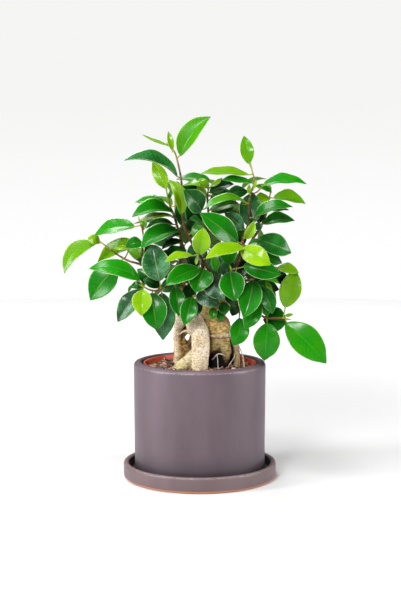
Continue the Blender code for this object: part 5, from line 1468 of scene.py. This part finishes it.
class Crown:
    """What stands in the crown already, and the rule that bends each new leaf clear of it."""

    def __init__(self):
        self.blades = []        # (shoot name, base, box, tree of a swollen blade)
        self.wood = []          # (shoot name, beads, box)

    def add_wood(self, name, stem):
        grains = beads(stem)
        self.wood.append((name, grains, box_of(grains[:, :3], grains[:, 3].max() + CLEARANCE)))

    def is_clear(self, name, leaf, stalk):
        """The leaf's box and tree where it and its stalk are clear of what stands, or None."""
        points, faces = blade(leaf, CLEARANCE)
        tree = BVHTree.FromPolygons(points.tolist(), faces)
        extent = box_of(points)
        grains = beads(stalk)
        reach = box_of(grains[:, :3], grains[:, 3].max() + CLEARANCE)
        for owner, base, box, other in self.blades:
            beside = owner == name and np.linalg.norm(base - leaf.base) < SHARED_FOOT
            if not beside and boxes_meet(extent, box) and tree.overlap(other):
                return None
            if owner != name and boxes_meet(reach, box) and touches(other, grains):
                return None
        for owner, old, box in self.wood:
            if owner == name:
                continue
            if boxes_meet(extent, box) and touches(tree, old):
                return None
            if boxes_meet(reach, box) and beads_meet(grains, old):
                return None
        return extent, tree

    def place(self, name, leaf, stems):
        """The leaf as it fits, with its stalk, or None where no bend of it is clear."""
        for size in BENT_SIZES:
            for move in nudges():
                tip = leaf.base + (leaf.tip - leaf.base) * size + move
                bent = leaf._replace(tip=tip, width=leaf.width * size)
                stalk = petiole(bent, stems)
                found = self.is_clear(name, bent, stalk)
                if found:
                    self.blades.append((name, bent.base, *found))
                    self.add_wood(name, stalk)
                    return bent, stalk
        return None


def touches(tree, grains):
    """Whether any bead of a stem comes within its radius and the clearance of a blade."""
    return any(tree.find_nearest(grain[:3], grain[3] + CLEARANCE)[0] for grain in grains.tolist())


def beads_meet(one, other):
    """Whether two stems come nearer each other than their radii and twice the clearance."""
    apart = np.linalg.norm(one[:, None, :3] - other[None, :, :3], axis=2)
    return bool(np.any(apart < one[:, None, 3] + other[None, :, 3] + 2 * CLEARANCE))


def real_leaf(leaf):
    """A leaf read from the front, in real places."""
    return leaf._replace(base=seen(leaf.base), tip=seen(leaf.tip))


def grown_shoots():
    """Every shoot as (name, root, stems, leaves) in real places, before its leaves are bent clear."""
    shoots = []
    for name, shoot in SHOOTS.items():
        stems = [route(stem) for stem in shoot.stems]
        shoots.append((name, seen(shoot.root), stems, [real_leaf(leaf) for leaf in shoot.leaves]))
    for turn, (name, (root, stem)) in enumerate(BACK_SHOOTS.items()):
        points = np.array(stem)[:, [0, 2, 1, 3]]
        x, z, y = root
        shoots.append((name, np.array((x, y, z), float), [points], spray(points, BACK_LEAVES, turn)))
    return shoots


def stub(root, stem):
    """A short side branch of the wood that ends square, a gap away from a shoot's foot."""
    heading = unit(stem[1, :3] - stem[0, :3])
    radius = stem[0, 3] + STUB_COLLAR
    end = stem[0, :3] - GAP * heading
    return np.array([(*root, radius), (*(end - STUB_END * heading), radius), (*end, radius)])


def wooden_parts(shoots):
    """The points of every root, graft and stub of the trunk."""
    parts = [route(points) for points in (*ROOTS.values(), *GRAFTS.values())]
    return parts + [stub(root, stems[0]) for _, root, stems, _ in shoots]


def settled_leaves(shoots):
    """Each shoot's leaves as (leaf, stalk) pairs, set one by one from the front back, clear of the rest."""
    crown = Crown()
    for points in wooden_parts(shoots):
        crown.add_wood("trunk", points)
    for name, _, stems, _ in shoots:
        for stem in stems:
            crown.add_wood(name, stem)
    waiting = [(leaf, name, stems) for name, _, stems, leaves in shoots for leaf in leaves]
    waiting.sort(key=lambda entry: entry[0].base[1] + entry[0].tip[1])
    settled = {name: [] for name, *_ in shoots}
    for leaf, name, stems in waiting:
        found = crown.place(name, leaf, stems)
        if found:
            settled[name].append(found)
    return settled


print("moves of a tip that are tried:", len(nudges()))

# %% Settle the leaves
shoots = grown_shoots()
settled = settled_leaves(shoots)
print("leaves in place:", sum(len(leaves) for leaves in settled.values()))

# %% [markdown]
# ## The trunk's skin
# The stubs that the shoots grow from are part of the trunk, so the skin is made once the shoots are known.

# %% Make the trunk
wood = wooden_parts(shoots)
wood_tints = [ROOT_TINTS[name] for name in ROOTS] + [WOOD_TINT] * (len(wood) - len(ROOTS))
tint_only = [(route(places), tint) for places, tint in TINT_PATHS]
show("root_trunk", wrinkled_trunk(list(zip(wood, wood_tints)), tint_only), bark, "trunk", slot="bark")

# %% Pale rootlets
# Each as (across, height, depth, radius): fine pale roots over the wood painted black as shade, and one on
# the right.
ROOTLETS = [
    [(12, 124, -11, 0.4), (15, 127, -14, 0.55), (18.2, 130.6, -15, 0.6), (21.2, 131.6, -15.5, 0.6),
     (25, 130.2, -15.5, 0.55), (28.5, 128.4, -14, 0.4)],
    [(18.5, 130, -14.5, 0.4), (19, 124, -15.5, 0.5), (19.3, 118, -15.5, 0.5), (19.5, 110, -15, 0.4)],
    [(37, 131, -8, 0.4), (36, 127, -9, 0.5), (33.5, 123, -10, 0.55), (31, 119, -11, 0.5),
     (29.5, 112, -11, 0.4)],
    [(22, 128, -12, 0.4), (23.5, 123, -13, 0.5), (22.5, 118, -12, 0.5), (23, 111, -12, 0.4)],
    [(14, 122, -9, 0.4), (17, 120, -11, 0.45), (18, 116, -12, 0.45), (17, 111, -12, 0.4)],
    [(40.5, 143, -4, 0.5), (43, 137, -6, 0.55), (45.5, 130, -7, 0.5), (47, 122, -8, 0.5), (48, 111, -8, 0.4)],
]
ROOTLET_SIDES = 10
ROOTLET_WAVER = 0.5
ROOTLET_PITCH = 4.0


def rootlet_mesh():
    """All rootlets as thin wavering tubes in one mesh."""
    tubes = []
    for places in ROOTLETS:
        path = smooth(route(places), ROOT_STEPS)
        waver = [layered_noise(path[:, :3] + 40 * axis, ROOTLET_PITCH, 1) for axis in range(3)]
        path[:, :3] += ROOTLET_WAVER * np.stack(waver, axis=1)
        tubes.append(carried(path, ROOTLET_SIDES))
    return make_mesh("pale_rootlets", *joined(tubes))


rootlet_skin = Finish("rootlet skin", Roughness=0.7, Specular_IOR_Level=0.2)
fleck = rootlet_skin.noise(700, detail=3)
rootlet_tone = rootlet_skin.ramp(fleck, (0.35, paint(150, 132, 108)), (0.55, paint(238, 230, 214)))
rootlet_skin.feed(Base_Color=rootlet_tone)
show("pale_rootlets", rootlet_mesh(), rootlet_skin, slot="bark")

# %% [markdown]
# ## Shade inside the crown
# Little light reaches the leaves and twigs deep inside.  How much a place sees past its neighbours is
# worked out with short rays against the coarse blades and stems, a few places to a leaf, over both of its
# sides.

# %% Shade
SHADE_PLACES = (0.1, 0.35, 0.6, 0.85)
SHADE_REACH = 55.0              # millimetres
SHADE_LIFT = 1.5                # how far above a blade its rays start
STEM_LIFT = 0.5                 # how far outside a stem its rays start
COARSE_SIDES = 6


def crown_tree():
    """All coarse blades and stems in one search tree."""
    bodies = [blade(leaf) for leaves in settled.values() for leaf, _ in leaves]
    bodies += [carried(stem, COARSE_SIDES) for _, _, stems, _ in shoots for stem in stems]
    points, faces = joined(bodies)
    return BVHTree.FromPolygons(points.tolist(), faces)


CROWN_TREE = crown_tree()


def leaf_sky(leaf, along):
    """What a blade's upper and lower sides see of the open, for each place along its midrib."""
    places, _, lift = rib_frame(leaf, SHADE_PLACES)
    sides = [openness(CROWN_TREE, places, lift * way, SHADE_REACH, SHADE_LIFT) for way in (1, -1)]
    return [np.interp(along, SHADE_PLACES, open_share) for open_share in sides]


def stem_sky(path):
    """The same for the points of a stem, as the mean over its front and its back."""
    front = np.broadcast_to((0.0, -1.0, 0.0), (len(path), 3))
    lift = path[:, 3].max() + STEM_LIFT
    return sum(openness(CROWN_TREE, path[:, :3], way * front, SHADE_REACH, lift) for way in (1, -1)) / 2


skies = [leaf_sky(leaf, SHADE_PLACES)[0].mean() for leaves in settled.values() for leaf, _ in leaves]
print("open sky over the upper sides, from the darkest leaf to the brightest:",
      np.quantile(skies, (0, 0.1, 0.25, 0.5, 0.75, 1)).round(2))

# %% [markdown]
# ## Fine leaves
# A fig leaf is thick and glossy, folded a little along its midrib, with a short drawn-out tip.  Each blade
# here is a closed sheet: rows along the midrib, columns across the upper side and back along the lower
# side.  The upper side dips along the midrib and the lower side carries it as a rib; the margin is gently
# waved.  The map runs along and across the blade, so veins are drawn by the finish and follow every leaf.

# %% Fine blades
FINE_ROWS = 25
FINE_COLUMNS = 15               # odd, so that one column lies on the midrib
FINE_HALF_THICKNESS = 0.2
RIB_DEPTH = 0.3
WAVE_HEIGHT = 0.55
GROOVE_DEPTH = 0.14
GROOVE_WIDTH = 0.09             # half widths of groove and rib, in the blade's half width
RIB_WIDTH = 0.07
FULL_WAVE_REACH = 9             # narrower blades are waved less
FULL_THICKNESS_REACH = 4        # and still narrower places are thinner


def fine_half_width(along):
    """The solid's outline, drawn in slightly before the tip."""
    narrow = np.clip((along - 0.78) / 0.22, 0, 1)
    return half_width(along) * (1 - 0.3 * narrow * narrow * (3 - 2 * narrow) * (1 - 0.35 * narrow))


def fine_blade(leaf, number):
    """Points and faces of one blade, its map, 1 on the lower side, and how open each point lies.

    A point is rib + across (w s cos fold) + lift (w |s|^1.3 sin fold + wave), for s from -1 to 1 across
    a blade of half width w, moved up or down along its own normal by half the thickness."""
    along = np.linspace(0, 1, FINE_ROWS + 2)[1:-1]
    side = np.linspace(-1, 1, FINE_COLUMNS)
    rib, across, lift = rib_frame(leaf, along)
    reach = (leaf.width / 2 * fine_half_width(along))[:, None]
    fold = math.radians(leaf.fold)
    wave = np.sin(2 * np.pi * (1.6 + 0.17 * (number % 5)) * along[:, None] + number + 0.9 * np.sign(side))
    wave = WAVE_HEIGHT * wave * side**2 * np.minimum(reach / FULL_WAVE_REACH, 1)
    rise = (reach * np.abs(side) ** 1.3 * math.sin(fold) + wave)[..., None]
    spread = (reach * side * math.cos(fold))[..., None]
    middle = rib[:, None] + across[:, None] * spread + lift[:, None] * rise
    tilt = (fold * np.sign(side))[:, None]
    up = lift[:, None] * np.cos(tilt) - across[:, None] * np.sin(tilt)
    slim = np.minimum(reach / FULL_THICKNESS_REACH, 1)
    half = FINE_HALF_THICKNESS * (1 - 0.6 * side**4) * slim
    groove = GROOVE_DEPTH * np.exp(-((side / GROOVE_WIDTH) ** 2)) * slim
    keel = RIB_DEPTH * np.exp(-((side / RIB_WIDTH) ** 2)) * (1 - 0.75 * along[:, None]) * slim
    upper = middle + up * (half - groove)[..., None]
    lower = middle - up * (half + keel)[..., None]
    ring = np.concatenate((upper, lower[:, ::-1]), axis=1)
    columns = ring.shape[1]
    count = FINE_ROWS * columns
    faces = grid_faces(FINE_ROWS, columns).tolist()
    faces += fan_faces(np.arange(columns), count, outward=False).tolist()
    faces += fan_faces(np.arange(count - columns, count), count + 1).tolist()
    width_map = np.concatenate((side, side[::-1])) / 2 + 0.5
    chart = np.stack(np.broadcast_arrays(along[:, None], width_map), axis=-1).reshape(-1, 2)
    chart = np.vstack((chart, (0, 0.5), (1, 0.5)))
    under = np.append(np.tile(np.repeat((0.0, 1.0), FINE_COLUMNS), FINE_ROWS), (0.5, 0.5))
    sky = np.repeat(np.stack(leaf_sky(leaf, along), axis=1), FINE_COLUMNS, axis=1).ravel()
    sky = np.append(sky, sky[[0, -1]])
    return np.vstack((ring.reshape(-1, 3), leaf.base, leaf.tip)), faces, chart, under, sky


print("points of a fine blade:", 2 * FINE_ROWS * FINE_COLUMNS + 2)

# %% [markdown]
# ## Stems, stalks and buds
# Stems are woody brown low down and green where they are young.  They swell a little at each joint.  A stalk
# leaves the stem, bends, and runs into the midrib, and each stem ends in the pointed bud that figs have.

# %% Fine stems
STEM_SIDES = 12
STALK_SIDES = 8
STALK_ROWS = 9
STALK_SINK = 0.4                # how far under the blade a stalk ends
BUD_LENGTH = 6.5
BUD_RADIUS = 0.7                # at the least
BUD_ROWS = 7
BUD_LAST = 0.97                 # where the bud's last row is, in its length
STEM_STEPS = 6                  # steps from one joint to the next
STEM_SLIM = 0.8                 # between two joints a stem is this share of the solid's thickness
STEM_JOINT = 0.16               # how much more of it a joint has


def fine_stem(stem):
    """A smooth stem, swollen at each listed point, its age from foot 0 to tip 1, and its openness."""
    path = smooth(stem, STEM_STEPS)
    joint = np.cos(2 * np.pi * np.arange(len(path)) / STEM_STEPS) ** 8
    path[:, 3] *= STEM_SLIM + STEM_JOINT * joint
    points, faces = carried(path, STEM_SIDES)
    age = np.repeat(np.linspace(0, 1, len(path)), STEM_SIDES)
    sky = stem_sky(path)
    return points, faces, np.append(age, (0, 1)), np.append(np.repeat(sky, STEM_SIDES), sky[[0, -1]])


def fine_stalk(stalk, leaf):
    """A stalk from the stem into the blade's foot from below, sagging a little, thick at the stem and
    thinning into the blade.
    """
    t = np.linspace(0, 1, STALK_ROWS)[:, None]
    start = stalk[0, :3]
    rib, _, lift = rib_frame(leaf, [0.1])
    end = rib[0] - STALK_SINK * lift[0]
    length = np.linalg.norm(end - start)
    handle = start + 0.62 * (leaf.base - start) - (0, 0, 0.05 * length)
    places = (1 - t) ** 2 * start + 2 * t * (1 - t) * handle + t**2 * end
    radius = stalk[0, 3] * (0.78 + 0.35 * (1 - t) ** 4) * (1 - 0.55 * np.clip((t - 0.75) / 0.25, 0, 1))
    return carried(np.hstack((places, radius)), STALK_SIDES)


def bud(stem):
    """The pointed bud at a stem's end: a slim drop whose radius is r (1 - t) (1 + 1.6 t)."""
    t = np.linspace(0, BUD_LAST, BUD_ROWS)[:, None]
    heading = unit(stem[-1, :3] - stem[-2, :3])
    places = stem[-1, :3] + heading * t * BUD_LENGTH
    radius = max(stem[-1, 3], BUD_RADIUS) * (1 - t) * (1 + 1.6 * t)
    return carried(np.hstack((places, radius)), STALK_SIDES)


print("points of a bud:", BUD_ROWS * STALK_SIDES + 2)

# %% [markdown]
# ## Leaf finish
# New leaves are lime and old ones a deep green, so a tone per leaf runs a colour ramp.  On top come the
# pale midrib, faint side veins that run slantwise to the margin, clouds of lighter green, a thin whitish
# margin that is partly the leaf's paler edge and partly a painted edge highlight, and a duller, paler lower
# side.  The oldest leaves carry a painted bluish sheen in cloudy patches.  The waxy gloss is the shader's
# coat; it breaks up where the surface is clouded.  Deep in the crown leaves are darkened with painted
# shade, but young ones less, as light passes through them.

# %% Leaf finish
leaf_finish = Finish("leaf", Roughness=0.38, Specular_IOR_Level=0.06, Coat_Weight=0.2, Coat_Roughness=0.18)
tone = leaf_finish.attribute("tone")
under = leaf_finish.attribute("under")
along = leaf_finish.uv(0)
side = abs(leaf_finish.uv(1) * 2 - 1)
rib_line = side.step(0.075, 0.02) * (1.0 - 0.55 * along)
slant = abs((along * 12.0 - side * 2.4).fraction() - 0.5)
veins = slant.step(0.10, 0.0) * side.step(0.98, 0.7)
margin = side.step(0.94, 0.985)
cloud = leaf_finish.noise(55, detail=3)
fine = leaf_finish.noise(600, detail=3)
green = leaf_finish.ramp(tone + 0.3 * (cloud - 0.5) + 0.06 * (fine - 0.5) + 0.08 * (side - 0.4),
                         (0.0, paint(2, 54, 10)), (0.12, paint(6, 92, 2)), (0.3, paint(18, 120, 1)),
                         (0.5, paint(56, 128, 1)), (0.7, paint(88, 138, 1)), (0.88, paint(108, 154, 1)),
                         (1.0, paint(130, 170, 2)))
pale = leaf_finish.blend(0.5, green, paint(170, 200, 90))
leaf_colour = leaf_finish.blend(rib_line * (0.55 - 0.4 * tone.step(0, 0.35)) + veins * 0.05, green, pale)
quilt = (along * 75.4 - side * 15.1).wave() * side
patches = (cloud * 0.62 + quilt * 0.03 + fine * 0.35).step(0.42, 0.62)
# painted sheen: a bluish reflection in cloudy patches on the oldest leaves
painted_sheen = tone.step(0.13, 0.02) * (0.12 + 0.88 * patches)
leaf_colour = leaf_finish.blend(painted_sheen * 0.3, leaf_colour, paint(140, 186, 160))
# the thin whitish margin is partly the leaf's paler edge and partly a painted edge highlight
leaf_colour = leaf_finish.blend(margin * 0.7, leaf_colour, paint(196, 216, 160))
back_colour = leaf_finish.blend(0.42, green, paint(150, 180, 100))
back_colour = leaf_finish.blend(rib_line * 0.6 + veins * 0.2, back_colour, paint(200, 215, 150))
leaf_colour = leaf_finish.blend(under, leaf_colour, back_colour)
shade = leaf_finish.attribute("sky").step(0.85, 0.25) * (1.0 - 0.8 * tone.step(0.35, 0.7))
leaf_colour = leaf_finish.blend(shade * 0.9, leaf_colour, paint(0, 14, 6))
leaf_finish.feed(Base_Color=leaf_colour, Roughness=0.30 + 0.16 * cloud + 0.22 * under,
                 Coat_Weight=(0.32 - 0.3 * under) * (1.0 - 0.9 * shade))
leaf_finish.relief(0.5 + 0.26 * quilt + veins * 0.2 * (1 - 2 * under) + fine * 0.6, 0.0005)
print("leaf nodes:", len(leaf_finish.tree.nodes))

# %% Twig finish
twig_finish = Finish("twig", Roughness=0.55, Specular_IOR_Level=0.2)
age = twig_finish.attribute("tone")
scar_and_glint = twig_finish.noise(500, detail=4, vector=twig_finish.stretched((1, 1, 2.2)))
twig_colour = twig_finish.ramp(age + 0.22 * (scar_and_glint - 0.5),
                               (0.0, paint(50, 34, 20)), (0.35, paint(82, 55, 32)), (0.6, paint(108, 78, 42)),
                               (0.74, paint(126, 120, 38)), (1.0, paint(124, 158, 34)))
# golden streaks painted on the stems as highlights
twig_colour = twig_finish.blend(scar_and_glint.step(0.52, 0.68) * 0.6, twig_colour, paint(176, 132, 50))
twig_shade = twig_finish.attribute("sky").step(0.75, 0.3)
twig_colour = twig_finish.blend(twig_shade * 0.85, twig_colour, paint(16, 12, 9))
twig_finish.feed(Base_Color=twig_colour, Roughness=0.5 + 0.25 * scar_and_glint)
twig_finish.relief(scar_and_glint, 0.0003)
print("twig nodes:", len(twig_finish.tree.nodes))

# %% Make the shoots
STALK_AGE = 0.78
STEM_AGE = 0.8
BUD_AGE = 0.95
NO_MAP = (0.0, 0.0)
LEAF_SLOT = 0                   # numbers of a shoot's two materials
TWIG_SLOT = 1


def shoot_parts(name, stems, leaves):
    """Every body of a shoot as (body, map, tone, under, sky, slot)."""
    parts = []
    for number, (leaf, stalk) in enumerate(leaves):
        points, faces, chart, under, sky = fine_blade(leaf, number + len(name))
        parts.append(((points, faces), chart, leaf.tone, under, sky, LEAF_SLOT))
        parts.append((fine_stalk(stalk, leaf), NO_MAP, STALK_AGE + 0.2 * leaf.tone, 0.0, sky[0], TWIG_SLOT))
    for stem in stems:
        points, faces, age, sky = fine_stem(stem)
        parts.append(((points, faces), NO_MAP, age * STEM_AGE, 0.0, sky, TWIG_SLOT))
        parts.append((bud(stem), NO_MAP, BUD_AGE, 0.0, 1.0, TWIG_SLOT))
    return parts


def shoot_mesh(name, stems, leaves):
    """All blades, stalks, stems and buds of one shoot in one mesh."""
    bodies, charts, *columns, slots = zip(*shoot_parts(name, stems, leaves))
    sizes = [len(points) for points, _ in bodies]
    across = np.vstack([np.broadcast_to(chart, (size, 2)) for chart, size in zip(charts, sizes)])
    tone, under, sky = (np.concatenate([np.broadcast_to(value, size) for value, size in zip(column, sizes)])
                        for column in columns)
    mesh = make_mesh(name, *joined(bodies), across=across, tone=tone, under=under, sky=sky)
    face_slots = np.repeat(np.array(slots, dtype=np.int32), [len(faces) for _, faces in bodies])
    mesh.polygons.foreach_set("material_index", face_slots)
    return mesh


for shoot_name, _, shoot_stems, _ in shoots:
    piece_name = "leaves_" + shoot_name
    mesh = shoot_mesh(piece_name, shoot_stems, settled[shoot_name])
    show(piece_name, mesh, leaf_finish, "shoot_" + shoot_name, slot="foliage")
    mesh.materials.append(twig_finish.material)
